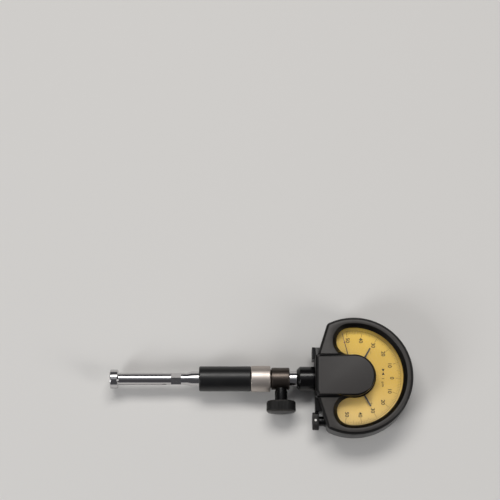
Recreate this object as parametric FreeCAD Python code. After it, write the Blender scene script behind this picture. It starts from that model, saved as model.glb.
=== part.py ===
import FreeCAD, Part
import math
import os
from FreeCAD import Vector

# Self-centring dial bore gauge, lying on its back: split measuring head, grip, clamp head and dial
# comparator.
# X runs along the gauge towards the dial, Y across it, and Z out of the dial face.
# The origin is the centre of the flat back of the case, under the pointer's axis. Sizes are in millimetres.

# Fits
running_gap = 0.03
fixed_gap = 0.01
touch_gap = 0.02
past = 1.0
through = 20.0

# Case of the comparator
case_radius = 31.4
shoulder_drop = 3.4
flank_x = 19.2
flank_y = 12.0
base_x = 20.7
base_y = 10.5
back_height = 5.5
case_wall = 2.0
front_wall = 2.5
ledge_width = 1.4
rim_chamfer = 1.3
shoulder_round = 3.0

# Window, glass and centre cover
window_inset = 12.5
window_half_width = 7.2
window_half_angle = 96.3
window_bevel = 2.0
glass_thickness = 1.2
glass_margin = 1.2
glass_room = 0.6
cover_half_width = 11.0
cover_rise = 2.5
cover_chamfer = 0.8
cover_recess_depth = 1.2
cover_groove = 0.8
cover_corner_cut = 2.4
cover_screw_places = [(-15.5, 5.0), (-15.5, -5.0)]
cover_screw_radius = 0.8
cover_screw_head_radius = 1.4
cover_screw_head_height = 0.9
cover_screw_bite = 2.0
cover_screw_room = 0.1

# Base pad that carries the stem, and the lifting socket on it
pad_top_y = 16.1
pad_knob_gap = 0.05
pad_rise = 5.5
pad_depth = 4.0
socket_width = 6.4
socket_thickness = 1.5
socket_plug_radius = 1.8
socket_plug_sunk = 0.1
plug_slot_width = 0.5
plug_slot_depth = 0.4

# Back cover and its screws
back_step = 1.8
back_skirt = 1.4
back_floor = 1.4
back_chamfer = 1.0
back_spigot = 1.5
back_screw_radius = 1.25
back_screw_head_radius = 2.2
back_screw_head_height = 1.3
back_screw_head_z = 1.8
back_screw_length = 5.6
back_screw_room = 1.1
screw_slot_width = 0.6
screw_slot_depth = 0.6
boss_radius = 2.4
back_boss_height = 3.6
left_screw_y = 15.5
right_screw_angle = 45.0

# Spindle line through stem, clamp head, grip and measuring head
axis_drop = 0.9
stem_radius = 4.0
stem_bore_radius = 2.6
stem_end_x = -50.0
stem_flange_radius = 5.2
stem_flange_thickness = 1.2
collar_radius = 6.5
collar_length = 9.7
collar_chamfer = 1.8
plunger_radius = 1.5
plunger_tip_radius = 1.0
plunger_collar_radius = 2.4
plunger_collar_x = -41.0
plunger_collar_thickness = 1.0
bush_length = 5.0
contact_radius = 2.0
contact_length = 4.0
contact_shank_radius = 0.9
contact_shank_length = 4.0
contact_shank_room = 0.2
contact_nose = [(0.0, 0.0), (0.08, 0.5), (0.32, 1.1), (0.9, 2.0)]
plunger_overhang = 0.3

# Clamp head, ring and grip
clamp_radius = 5.95
clamp_length = 9.7
clamp_gap_to_collar = 3.8
clamp_edge = 0.4
spigot_radius = 5.0
spigot_reach = 6.0
ring_radius = 6.95
ring_length = 10.3
ring_groove = 0.5
ring_edge = 0.3
grip_radius = 6.7
grip_length = 27.8
grip_edge = 0.45
tube_radius = 5.7
rod_radius = 1.5
rod_bore_radius = 2.2
rod_flange_radius = 2.3
rod_flange_thickness = 0.8
chamber_radius = 2.6
rod_bush_length = 4.5
rod_play = 0.5
rod_bush_set_in = 0.2
stem_stop_gap = 0.5

# Clamp screw and its knob
clamp_screw_radius = 1.5
clamp_screw_offset = 4.5
neck_radius = 3.35
neck_reach = 12.0
pressure_piece_length = 2.5
knob_gap = 0.1
clamp_knob_radius = 7.8
clamp_knob_length = 6.6
clamp_knob_chamfer = 0.8
clamp_knob_dome = 0.5
clamp_screw_grip = 4.0
clamp_screw_room = 0.3
knob_face_share = 0.45

# Split measuring head and its needle
head_shank_radius = 2.98
head_shank_length = 7.0
head_boss_radius = 3.9
head_boss_length = 4.0
head_cone_length = 2.3
head_tube_radius = 3.2
head_tube_length = 37.1
barrel_radius = 5.0
barrel_length = 4.2
barrel_round = 0.6
barrel_back_edge = 0.3
wrench_flats = 4.6
wrench_length = 5.4
wrench_offset = 3.3
slit_width = 1.2
slit_length = 29.0
slit_end_radius = 1.3
needle_radius = 1.0
needle_cone_half_angle = math.degrees(math.atan(0.5))
needle_cone_start = 5.4
needle_tip_radius = 0.12

# Fine adjustment at the lower left of the case
adjust_inset = 8.5
adjust_knob_left_x = -22.3
adjust_knob_length = 3.7
adjust_knob_radius = 4.7
adjust_knob_chamfer = 0.35
adjust_knob_dome = 0.2
adjust_shaft_radius = 2.6
adjust_thread_radius = 1.25
adjust_thread_end_x = -8.5
adjust_bush_radius = 2.9
adjust_bush_length = 4.5
adjust_bush_face_x = -16.0
adjust_screw_set_in = 0.3
adjust_bore_x = -17.0
adjust_bore_length = 8.0
adjust_relief_end_x = -7.5
index_pin_radius = 0.65
index_pin_length = 2.0
index_pin_sunk = 0.1

# Movement plates
lower_plate_z = 2.6
plate_thickness = 1.0
plate_side_gap = 0.2
pillar_radius = 1.5
pillar_rivet_radius = 0.9
pillar_rim = 2.6
pillar_places = [(8.0, 4.0), (-12.5, 7.0), (-13.5, -9.5), (4.5, -17.0)]
pillar_screw_radius = 0.6
pillar_screw_head_radius = 1.1
pillar_screw_head_height = 0.5
pillar_screw_bite = 2.3
pillar_screw_room = 0.2
plate_screw_clearance = 5.4
plate_screw_inset = 4.0
plate_screw_front_inset = 4.8
plate_boss_radius = 2.0
plate_boss_height = 1.9
plate_screw_radius = 0.8
plate_screw_head_radius = 1.5
plate_screw_head_height = 1.0
plate_screw_bite = 1.4
plate_hole_depth = 1.5
stem_notch_half_width = 5.6
stem_notch_depth = 8.0

# Gear train: lever sector to pinion, segment wheel to pinion, pointer
gear_module = 0.2
pressure_angle = 20.0
tooth_play = 0.02
gear_addendum = 0.5
pinion_addendum = 0.8
dedendum = 1.3
pinion_teeth = 12
sector_teeth = 120
segment_teeth = 126
sector_teeth_cut = 7
segment_teeth_after = 11
segment_teeth_before = 3
reading_per_degree = 0.0005
lever_axis_x = -14.5
lever_thickness = 0.8
lever_rise = 0.3
lever_hub_radius = 2.0
lever_eye_radius = 1.4
lever_pin_radius = 0.5
lever_rim = 1.4
lever_arm_width = 1.6
first_pinion_room = 0.6
pinion_height = 1.4
segment_rise = 0.4
segment_thickness = 0.6
segment_rim = 1.5
segment_arm_width = 1.2
arm_foot_spread = 0.4
arm_foot_taper = 1.4
second_pinion_room = 0.9
upper_plate_room = 1.5
arbor_radius = 0.6
pivot_radius = 0.3
end_shake = 0.1
jewel_radius = 0.9

# Hairspring
hairspring_room = 0.8
hairspring_height = 0.7
hairspring_strip = 0.1
hairspring_turns = 4
hairspring_steps = 12
collet_radius = 1.1
stud_radius = 0.4
stud_place_radius = 5.2
collet_rim = 0.1
stud_rim = 0.2

# Dial, pointer and tolerance markers
dial_thickness = 0.5
dial_side_gap = 0.5
dial_hole_radius = 1.2
dial_post_radius = 1.6
dial_post_height = 2.1
dial_post_places = [(-7.5, 6.5), (-7.5, -6.5)]
dial_screw_radius = 0.7
dial_screw_head_radius = 1.3
dial_screw_head_height = 0.6
dial_screw_end_gap = 0.3
hub_bore_radius = 0.8
hub_neck_radius = 2.2
hub_flange_radius = 4.2
hub_flange_height = 0.3
marker_thickness = 0.35
marker_ring_radius = 4.2
marker_gap = 0.05
marker_inset = 13.4
marker_root_width = 1.3
marker_tip_width = 0.8
marker_angle = 60.5
clip_thickness = 0.25
clip_radius = 3.4
clip_mouth = 1.6
pointer_staff_radius = 0.5
pointer_hub_radius = 1.3
pointer_hub_room = 0.2
pointer_hub_height = 1.05
pointer_seat_width = 0.5
pointer_eye_width = 0.6
pointer_seat_height = 0.35
pointer_thickness = 0.15
pointer_inset = 6.4
pointer_root_width = 0.7
pointer_tip_width = 0.22
pointer_tail_length = 7.0
pointer_tail_radius = 1.3
pointer_tail_root_width = 1.6
pointer_tail_tip_width = 1.0
pointer_mark_from_tip = 5.8
pointer_mark_size = 0.55
pointer_rest_angle = 104.5

# Coil springs
spring_wire_radius = 0.22
plunger_spring_turns = 5
rod_spring_turns = 4
spring_steps = 12
spring_end_gap = 0.15

# Places that follow from the sizes above
UP = Vector(0, 0, 1)
ALONG = Vector(1, 0, 0)
ACROSS = Vector(0, 1, 0)
lower_plate_top_z = lower_plate_z + plate_thickness
hairspring_z = lower_plate_top_z + hairspring_room
first_pinion_z = hairspring_z + hairspring_height + first_pinion_room
lever_z = first_pinion_z + lever_rise
second_pinion_z = first_pinion_z + pinion_height + second_pinion_room
segment_z = second_pinion_z + segment_rise
upper_plate_z = second_pinion_z + pinion_height + upper_plate_room
axis_z = upper_plate_z - axis_drop
ledge_z = upper_plate_z + plate_thickness
dial_bottom_z = ledge_z + dial_post_height
dial_top_z = dial_bottom_z + dial_thickness
marker_minus_z = dial_top_z + hub_flange_height + marker_gap
marker_plus_z = marker_minus_z + marker_thickness + marker_gap
clip_z = marker_plus_z + marker_thickness + marker_gap
marker_hub_top_z = clip_z + clip_thickness + marker_gap
pointer_hub_z = marker_hub_top_z + pointer_hub_room
pointer_blade_z = pointer_hub_z + pointer_seat_height
glass_z = pointer_hub_z + pointer_hub_height + glass_room
front_wall_z = glass_z + glass_thickness
case_height = front_wall_z + front_wall
recess_z = case_height - cover_recess_depth
cover_top_z = case_height + cover_rise
pad_top_z = axis_z + pad_rise
case_shoulder_y = case_radius - shoulder_drop
window_mid_radius = case_radius - window_inset
marker_reach = case_radius - marker_inset
pointer_length = case_radius - pointer_inset
pointer_mark_radius = pointer_length - pointer_mark_from_tip
plate_screw_front_x = case_radius - plate_screw_front_inset
adjust_y = adjust_inset - case_radius
plate_screw_y = -adjust_y - plate_screw_clearance
pad_bottom_y = -adjust_y - adjust_knob_radius - pad_knob_gap
back_wall_x = -base_x + case_wall
collar_left_x = -base_x - collar_length
clamp_right_x = collar_left_x - clamp_gap_to_collar
clamp_left_x = clamp_right_x - clamp_length
clamp_screw_x = clamp_right_x - clamp_screw_offset
ring_right_x = clamp_left_x - ring_groove
ring_left_x = ring_right_x - ring_length
grip_left_x = ring_left_x - grip_length
spigot_left_x = ring_left_x - spigot_reach
shank_left_x = grip_left_x
boss_left_x = grip_left_x - head_boss_length
cone_left_x = boss_left_x - head_cone_length
barrel_right_x = cone_left_x - head_tube_length
tip_x = barrel_right_x - barrel_length
shank_right_x = shank_left_x + head_shank_length
contact_tip_x = stem_end_x - contact_length
rod_right_x = contact_tip_x - touch_gap
rod_left_x = shank_right_x + rod_play
rod_bush_right_x = rod_left_x + rod_bush_length
rod_flange_x = rod_bush_right_x + rod_play
neck_end_y = -neck_reach
knob_face_y = neck_end_y - knob_gap
stem_right_x = back_wall_x + stem_flange_thickness
plunger_front_x = stem_end_x - plunger_overhang
train_ratio = sector_teeth * segment_teeth / pinion_teeth ** 2
lever_arm = reading_per_degree * math.degrees(1.0) * train_ratio
lever_axis = Vector(lever_axis_x, -lever_arm, 0)
plunger_end_x = lever_axis_x - lever_pin_radius - touch_gap / 2
sector_centres = gear_module * (sector_teeth + pinion_teeth) / 2
segment_centres = gear_module * (segment_teeth + pinion_teeth) / 2


# Basic solids

def outward(solid):
    """The solid with its faces turned outward."""
    if solid.Volume < 0:
        solid.reverse()
    return solid


def turned(points, origin, along, side):
    """Turned solid from (distance along the axis, radius) points."""
    ring = [origin + along * a + side * r for a, r in points]
    face = Part.Face(Part.makePolygon(ring + [ring[0]]))
    return outward(face.revolve(origin, along, 360))


def spindle(points):
    """Turned solid on the spindle line; the points are (x, radius)."""
    return turned(points, Vector(0, 0, axis_z), ALONG, UP)


def spindle_rod(radius, x0, x1):
    return Part.makeCylinder(radius, x1 - x0, Vector(x0, 0, axis_z), ALONG)


def spindle_tube(bore, radius, x0, x1):
    return spindle_rod(radius, x0, x1).cut(spindle_rod(bore, x0 - past, x1 + past))


def post(radius, x, y, z0, z1):
    return Part.makeCylinder(radius, z1 - z0, Vector(x, y, z0))


def bush(bore, radius, x, y, z0, z1):
    return post(radius, x, y, z0, z1).cut(post(bore, x, y, z0 - past, z1 + past))


def slab(face, z0, z1):
    """The flat face, which lies at z = 0, raised between two heights."""
    lifted = face.translated(Vector(0, 0, z0))
    return outward(lifted.extrude(Vector(0, 0, z1 - z0)))


def polygon_face(points):
    corners = [Vector(x, y, 0) for x, y in points]
    return Part.Face(Part.makePolygon(corners + [corners[0]]))


def turned_about_z(shape, degrees, centre=Vector(0, 0, 0)):
    copy = shape.copy()
    copy.rotate(centre, UP, degrees)
    return copy


def knob_blank(radius, length, chamfer, dome):
    """Turned knob along Z, before knurling: chamfered edges and a domed far end."""
    rim = [(0, 0), (0, radius - chamfer), (chamfer, radius), (length - dome - chamfer, radius),
           (length - dome, radius - chamfer), (length, radius * knob_face_share), (length, 0)]
    return turned(rim, Vector(0, 0, 0), UP, ALONG)


def strip_solid(loops):
    """Solid skinned with flat facets over a row of closed loops that all have as many points."""
    faces = []
    for one, two in zip(loops, loops[1:]):
        for i in range(len(one)):
            j = (i + 1) % len(one)
            faces.append(Part.Face(Part.makePolygon([one[i], one[j], two[j], one[i]])))
            faces.append(Part.Face(Part.makePolygon([one[i], two[j], two[i], one[i]])))
    for end in (loops[0], loops[-1]):
        faces.append(Part.Face(Part.makePolygon(end + [end[0]])))
    return outward(Part.Solid(Part.Shell(faces)))


def coil_spring(mean_radius, x0, x1, turns):
    """Compression spring on the spindle line, wound from square wire."""
    height = x1 - x0 - 2 * spring_wire_radius
    steps = turns * spring_steps
    loops = []
    for i in range(steps + 1):
        angle = 2 * math.pi * i / spring_steps
        x = x0 + spring_wire_radius + height * i / steps
        out = Vector(0, math.cos(angle), math.sin(angle))
        centre = Vector(x, 0, axis_z) + out * mean_radius
        loops.append([centre + out * a + ALONG * b for a, b in
                      ((-spring_wire_radius, -spring_wire_radius), (spring_wire_radius, -spring_wire_radius),
                       (spring_wire_radius, spring_wire_radius), (-spring_wire_radius, spring_wire_radius))])
    return strip_solid(loops)


# Outlines of the case

def shoulder_x():
    """How far left of the pointer's axis the round front ends."""
    return math.sqrt(case_radius ** 2 - case_shoulder_y ** 2)


def case_outline(inset):
    """D-shaped face of the case: a round front, two slanted flanks and a flat base."""
    top = Vector(-shoulder_x(), case_shoulder_y, 0)
    bottom = Vector(-shoulder_x(), -case_shoulder_y, 0)
    round_front = Part.Arc(bottom, Vector(case_radius, 0, 0), top).toShape()
    corners = [top, Vector(-flank_x, flank_y, 0), Vector(-base_x, base_y, 0),
               Vector(-base_x, -base_y, 0), Vector(-flank_x, -flank_y, 0), bottom]
    sides = [Part.makeLine(a, b) for a, b in zip(corners, corners[1:])]
    face = Part.Face(Part.Wire([round_front] + sides))
    if inset:
        face = face.makeOffset2D(-inset)
    return face


def window_slot(half_width, bevel, z0, z1):
    """C-shaped slot round the pointer's axis, wider at its top by the bevel on both sides."""
    low = half_width
    high = half_width + bevel
    mid = window_mid_radius
    section = [Vector(mid - low, 0, z0), Vector(mid + low, 0, z0),
               Vector(mid + high, 0, z1), Vector(mid - high, 0, z1)]
    face = Part.Face(Part.makePolygon(section + [section[0]]))
    slot = outward(face.revolve(Vector(0, 0, 0), UP, 2 * window_half_angle))
    slot.rotate(Vector(0, 0, 0), UP, -window_half_angle)
    for side in (-1, 1):
        angle = math.radians(side * window_half_angle)
        centre = Vector(mid * math.cos(angle), mid * math.sin(angle), z0)
        if bevel:
            end = Part.makeCone(low, high, z1 - z0, centre, UP)
        else:
            end = Part.makeCylinder(low, z1 - z0, centre, UP)
        slot = slot.fuse(end)
    return slot.removeSplitter()


def cover_face(half_width, left_x, corner_cut):
    """Outline of the centre cover: round over the pointer's axis, flat sides, one cut corner."""
    top_left = Vector(left_x, half_width, 0)
    cut_side = Vector(left_x, corner_cut - half_width, 0)
    cut_foot = Vector(left_x + corner_cut / 2, -half_width, 0)
    bottom = Vector(0, -half_width, 0)
    top = Vector(0, half_width, 0)
    round_end = Part.Arc(bottom, Vector(half_width, 0, 0), top).toShape()
    sides = [Part.makeLine(top, top_left), Part.makeLine(top_left, cut_side),
             Part.makeLine(cut_side, cut_foot), Part.makeLine(cut_foot, bottom)]
    return Part.Face(Part.Wire([round_end] + sides))


def beside_flank(y, inset):
    """Point at this height that lies the inset in from the slanted flank."""
    slant = math.atan2(flank_x - shoulder_x(), case_shoulder_y - flank_y)
    x = (abs(y) - flank_y) * math.tan(slant) - flank_x + inset / math.cos(slant)
    return (x, y)


def back_screw_places():
    """Two screws beside the slanted flanks and two under the round front, all as far in from the edge."""
    edge = back_step + boss_radius
    reach = case_radius - edge
    right_x = reach * math.cos(math.radians(right_screw_angle))
    right_y = reach * math.sin(math.radians(right_screw_angle))
    left = [beside_flank(left_screw_y, edge), beside_flank(-left_screw_y, edge)]
    return left + [(right_x, right_y), (right_x, -right_y)]


def plate_screw_places():
    left = [beside_flank(plate_screw_y, plate_screw_inset), beside_flank(-plate_screw_y, plate_screw_inset)]
    return left + [(plate_screw_front_x, 0.0)]


# Case pieces

def upright_edges_at_shoulders(solid):
    found = []
    for edge in solid.Edges:
        ends = [v.Point for v in edge.Vertexes]
        upright = len(ends) == 2 and (ends[0] - ends[1]).cross(UP).Length < 1e-6
        if upright and abs(abs(ends[0].y) - case_shoulder_y) < 1e-3:
            found.append(edge)
    return found


def front_housing():
    body = slab(case_outline(0), back_height, case_height)
    body = body.makeFillet(shoulder_round, upright_edges_at_shoulders(body))
    rim = [e for e in body.Edges if e.BoundBox.ZMin > case_height - 1e-6]
    body = body.makeChamfer(rim_chamfer, rim)
    pad = Part.makeBox(pad_depth, pad_top_y + pad_bottom_y, pad_top_z - back_height,
                       Vector(-base_x, -pad_bottom_y, back_height))
    body = body.fuse(pad)
    cavity = slab(case_outline(case_wall), back_height - past, ledge_z)
    front_cavity = slab(case_outline(case_wall + ledge_width), ledge_z - past, front_wall_z)
    body = body.cut([cavity, front_cavity])
    bosses = []
    for x, y in back_screw_places():
        bosses.append(post(boss_radius, x, y, back_height, back_height + back_boss_height))
    for x, y in plate_screw_places():
        bosses.append(post(plate_boss_radius, x, y, ledge_z, ledge_z + plate_boss_height))
    body = body.fuse(bosses)
    holes = [window_slot(window_half_width, window_bevel, front_wall_z, case_height)]
    recess = cover_face(cover_half_width + cover_groove, -base_x - past, fixed_gap)
    holes.append(slab(recess, recess_z, case_height + past))
    holes.append(spindle_rod(stem_radius + fixed_gap, -base_x - past, back_wall_x + past))
    holes.append(spindle_rod(stem_flange_radius + running_gap, back_wall_x, back_wall_x + stem_notch_depth))
    bush_bore = adjust_bush_radius + fixed_gap
    holes.append(adjust_rod(bush_bore, adjust_bore_x, adjust_bore_x + adjust_bore_length))
    for x, y in back_screw_places():
        depth = back_screw_head_z + back_screw_length + back_screw_room
        holes.append(post(back_screw_radius + fixed_gap, x, y, back_height - past, depth))
    for x, y in plate_screw_places():
        holes.append(post(plate_screw_radius + fixed_gap, x, y, ledge_z - past, ledge_z + plate_hole_depth))
    for x, y in cover_screw_places:
        holes.append(post(cover_screw_radius + fixed_gap, x, y, front_wall_z - past, recess_z + past))
    return body.cut(holes)


def back_cover():
    body = slab(case_outline(back_step), 0, back_height)
    foot = [e for e in body.Edges if e.BoundBox.ZMax < 1e-6]
    body = body.makeChamfer(back_chamfer, foot)
    lugs = [post(boss_radius, x, y, back_floor / 2, back_height).common(body) for x, y in back_screw_places()]
    spigot = slab(case_outline(case_wall + fixed_gap), back_height, back_height + back_spigot)
    body = body.fuse(spigot)
    body = body.cut(slab(case_outline(back_step + back_skirt), back_floor, back_height + back_spigot + past))
    body = body.fuse(lugs)
    holes = []
    for x, y in back_screw_places():
        holes.append(post(boss_radius + fixed_gap, x, y, back_height, back_height + back_spigot + past))
        holes.append(post(back_screw_radius + running_gap, x, y, -past, back_height + past))
        holes.append(post(back_screw_head_radius + running_gap, x, y, -past, back_screw_head_z))
    holes.append(spindle_rod(stem_flange_radius + running_gap, -base_x - past, stem_right_x + past))
    return body.cut(holes)


def back_screws():
    screws = []
    head_z = back_screw_head_z
    face_z = head_z - back_screw_head_height
    reach = back_screw_head_radius + past
    for x, y in back_screw_places():
        head = post(back_screw_head_radius, x, y, face_z, head_z)
        slot = Part.makeBox(2 * reach, screw_slot_width, screw_slot_depth + past,
                            Vector(x - reach, y - screw_slot_width / 2, face_z - past))
        shank = post(back_screw_radius, x, y, head_z, head_z + back_screw_length)
        screws.append(head.fuse(shank).cut(slot))
    return Part.makeCompound(screws)


def window_glass():
    return window_slot(window_half_width + glass_margin, 0, glass_z, front_wall_z)


def centre_cover():
    body = slab(cover_face(cover_half_width, -base_x, cover_corner_cut), recess_z, cover_top_z)
    rim = [e for e in body.Edges if e.BoundBox.ZMin > cover_top_z - 1e-6]
    body = body.makeChamfer(cover_chamfer, rim)
    holes = []
    for x, y in cover_screw_places:
        end = recess_z + cover_screw_bite + cover_screw_room
        holes.append(post(cover_screw_radius + fixed_gap, x, y, recess_z - past, end))
    return body.cut(holes)


def cover_screws():
    screws = []
    for x, y in cover_screw_places:
        head = post(cover_screw_head_radius, x, y, front_wall_z - cover_screw_head_height, front_wall_z)
        shank = post(cover_screw_radius, x, y, front_wall_z, recess_z + cover_screw_bite)
        screws.append(head.fuse(shank))
    return Part.makeCompound(screws)


def lift_socket():
    """Plain block on the base pad, bored for the lifting cable's end piece."""
    body = Part.makeBox(socket_thickness, socket_width, pad_top_z - back_height,
                        Vector(-base_x - socket_thickness, pad_top_y - socket_width, back_height))
    start = Vector(-base_x - socket_thickness - past, pad_top_y - socket_width / 2, axis_z)
    hole = Part.makeCylinder(socket_plug_radius + fixed_gap, socket_thickness + 2 * past, start, ALONG)
    return body.cut(hole)


def lift_plug():
    start = Vector(-base_x - socket_thickness + socket_plug_sunk, pad_top_y - socket_width / 2, axis_z)
    body = Part.makeCylinder(socket_plug_radius, socket_thickness - socket_plug_sunk, start, ALONG)
    reach = socket_plug_radius + past
    slot = Part.makeBox(plug_slot_depth + past, 2 * reach, plug_slot_width,
                        Vector(start.x - past, start.y - reach, axis_z - plug_slot_width / 2))
    return body.cut(slot)


# Stem and plunger

def mounting_stem():
    tube = spindle_rod(stem_radius, stem_end_x, back_wall_x)
    flange = spindle_rod(stem_flange_radius, back_wall_x, stem_right_x)
    bore = spindle_rod(stem_bore_radius, stem_end_x - past, stem_right_x + past)
    return tube.fuse(flange).cut(bore)


def stem_collar():
    left = collar_left_x
    right = -base_x
    bore = stem_radius + fixed_gap
    rim = [(left, bore), (left, collar_radius - collar_chamfer), (left + collar_chamfer, collar_radius),
           (right, collar_radius), (right, bore)]
    return spindle(rim)


def plunger_bushes():
    bore = plunger_radius + running_gap
    outer = stem_bore_radius - fixed_gap
    front = spindle_tube(bore, outer, stem_end_x, stem_end_x + bush_length)
    rear = spindle_tube(bore, outer, stem_right_x - bush_length, stem_right_x)
    return Part.makeCompound([front, rear])


def plunger():
    step_x = stem_right_x + plunger_overhang
    front_x = plunger_front_x
    collar = plunger_collar_x + plunger_collar_thickness
    rim = [(front_x, 0), (front_x, plunger_radius), (plunger_collar_x, plunger_radius),
           (plunger_collar_x, plunger_collar_radius), (collar, plunger_collar_radius),
           (collar, plunger_radius),
           (step_x, plunger_radius), (step_x, plunger_tip_radius), (plunger_end_x, plunger_tip_radius),
           (plunger_end_x, 0)]
    hole_end = front_x + contact_shank_length + contact_shank_room
    hole = spindle_rod(contact_shank_radius + fixed_gap, front_x - past, hole_end)
    return spindle(rim).cut(hole)


def contact_point():
    """Hardened point screwed into the plunger, with a domed nose."""
    seat = plunger_front_x
    nose = [(contact_tip_x + depth, radius) for depth, radius in contact_nose]
    return spindle(nose + [(seat, contact_radius), (seat, contact_shank_radius),
                           (seat + contact_shank_length, contact_shank_radius),
                           (seat + contact_shank_length, 0)])


def plunger_spring():
    rear_bush_x = stem_right_x - bush_length
    mean = (plunger_radius + stem_bore_radius) / 2
    collar_face_x = plunger_collar_x + plunger_collar_thickness
    return coil_spring(mean, collar_face_x + spring_end_gap, rear_bush_x - touch_gap, plunger_spring_turns)


# Movement plates and their fixings

def lower_plate_face():
    corners = [Vector(x, y, 0) for x, y in pillar_places]
    face = Part.Face(Part.makePolygon(corners + [corners[0]]))
    return face.makeOffset2D(pillar_rim)


def first_pinion_axis():
    """Where the first pinion turns: in mesh with the sector and, by its wheel, with the pointer's pinion."""
    reach = lever_axis.Length
    toward = Vector(-lever_axis.x / reach, -lever_axis.y / reach, 0)
    aside = Vector(toward.y, -toward.x, 0)
    a = (sector_centres ** 2 - segment_centres ** 2 + reach ** 2) / (2 * reach)
    b = math.sqrt(sector_centres ** 2 - a ** 2)
    return lever_axis + toward * a + aside * b


def arbor_places():
    return [lever_axis, first_pinion_axis(), Vector(0, 0, 0)]


def movement_lower_plate():
    body = slab(lower_plate_face(), lower_plate_z, lower_plate_top_z)
    holes = [post(jewel_radius, p.x, p.y, 0, through) for p in arbor_places()]
    holes += [post(pillar_rivet_radius + fixed_gap, x, y, 0, through) for x, y in pillar_places]
    holes.append(post(stud_radius, stud_place_radius, 0, 0, through))
    return body.cut(holes)


def movement_main_plate():
    body = slab(case_outline(case_wall + plate_side_gap), upper_plate_z, ledge_z)
    notch = Part.makeBox(stem_notch_depth, 2 * stem_notch_half_width, plate_thickness + 2 * past,
                         Vector(-base_x, -stem_notch_half_width, upper_plate_z - past))
    holes = [notch, adjust_rod(adjust_bush_radius + plate_side_gap, -base_x, adjust_relief_end_x)]
    holes += [post(jewel_radius, p.x, p.y, 0, through) for p in arbor_places()]
    holes += [post(pillar_screw_radius + fixed_gap, x, y, 0, through) for x, y in pillar_places]
    holes += [post(plate_screw_radius + running_gap, x, y, 0, through) for x, y in plate_screw_places()]
    return body.cut(holes)


def plate_pillars():
    """Pillars riveted into the lower plate and tapped at the top."""
    pillars = []
    for x, y in pillar_places:
        body = post(pillar_radius, x, y, lower_plate_top_z, upper_plate_z)
        rivet = post(pillar_rivet_radius, x, y, lower_plate_z, lower_plate_top_z)
        foot = upper_plate_z - pillar_screw_bite - pillar_screw_room
        hole = post(pillar_screw_radius + fixed_gap, x, y, foot, upper_plate_z + past)
        pillars.append(body.fuse(rivet).cut(hole))
    return Part.makeCompound(pillars)


def pillar_screws():
    screws = []
    for x, y in pillar_places:
        head = post(pillar_screw_head_radius, x, y, ledge_z, ledge_z + pillar_screw_head_height)
        shank = post(pillar_screw_radius, x, y, upper_plate_z - pillar_screw_bite, ledge_z)
        screws.append(head.fuse(shank))
    return Part.makeCompound(screws)


def plate_screws():
    screws = []
    for x, y in plate_screw_places():
        head = post(plate_screw_head_radius, x, y, upper_plate_z - plate_screw_head_height, upper_plate_z)
        shank = post(plate_screw_radius, x, y, upper_plate_z, ledge_z + plate_screw_bite)
        screws.append(head.fuse(shank))
    return Part.makeCompound(screws)


def jewel_bearings():
    rings = []
    for number, p in enumerate(arbor_places()):
        outer = jewel_radius - fixed_gap
        rings.append(bush(pivot_radius + running_gap, outer, p.x, p.y, lower_plate_z, lower_plate_top_z))
        upper_bore = pivot_radius + running_gap
        if number == 2:
            upper_bore = pointer_staff_radius + running_gap
        rings.append(bush(upper_bore, outer, p.x, p.y, upper_plate_z, ledge_z))
    return Part.makeCompound(rings)


# Gear teeth

def involute(angle):
    return math.tan(angle) - angle


def half_tooth_angle(teeth, radius):
    """Half the angle that a tooth takes at this radius, thinned by the play, in radians."""
    pitch_radius = gear_module * teeth / 2
    base_radius = pitch_radius * math.cos(math.radians(pressure_angle))
    at_pitch = math.pi / (2 * teeth) - tooth_play / pitch_radius
    at_radius = math.acos(min(1.0, base_radius / max(radius, base_radius)))
    return at_pitch + involute(math.radians(pressure_angle)) - involute(at_radius)


def tooth_points(teeth, addendum, tooth_angle, steps):
    """Outline of one tooth, root to tip to root, in the order of growing angle."""
    pitch_radius = gear_module * teeth / 2
    root = pitch_radius - dedendum * gear_module
    tip = pitch_radius + addendum * gear_module
    radii = [root + (tip - root) * i / steps for i in range(steps + 1)]
    rise = [(r, tooth_angle - half_tooth_angle(teeth, r)) for r in radii]
    fall = [(r, tooth_angle + half_tooth_angle(teeth, r)) for r in reversed(radii)]
    return [(r * math.cos(a), r * math.sin(a)) for r, a in rise + fall]


def full_pinion(place, z0, space_direction):
    """Twelve-leaf pinion with a tooth space at the given direction."""
    pitch = 2 * math.pi / pinion_teeth
    points = []
    for i in range(pinion_teeth):
        points += tooth_points(pinion_teeth, pinion_addendum, space_direction + (i + 0.5) * pitch, 4)
    face = polygon_face(points)
    return slab(face, z0, z0 + pinion_height).translated(place)


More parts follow.
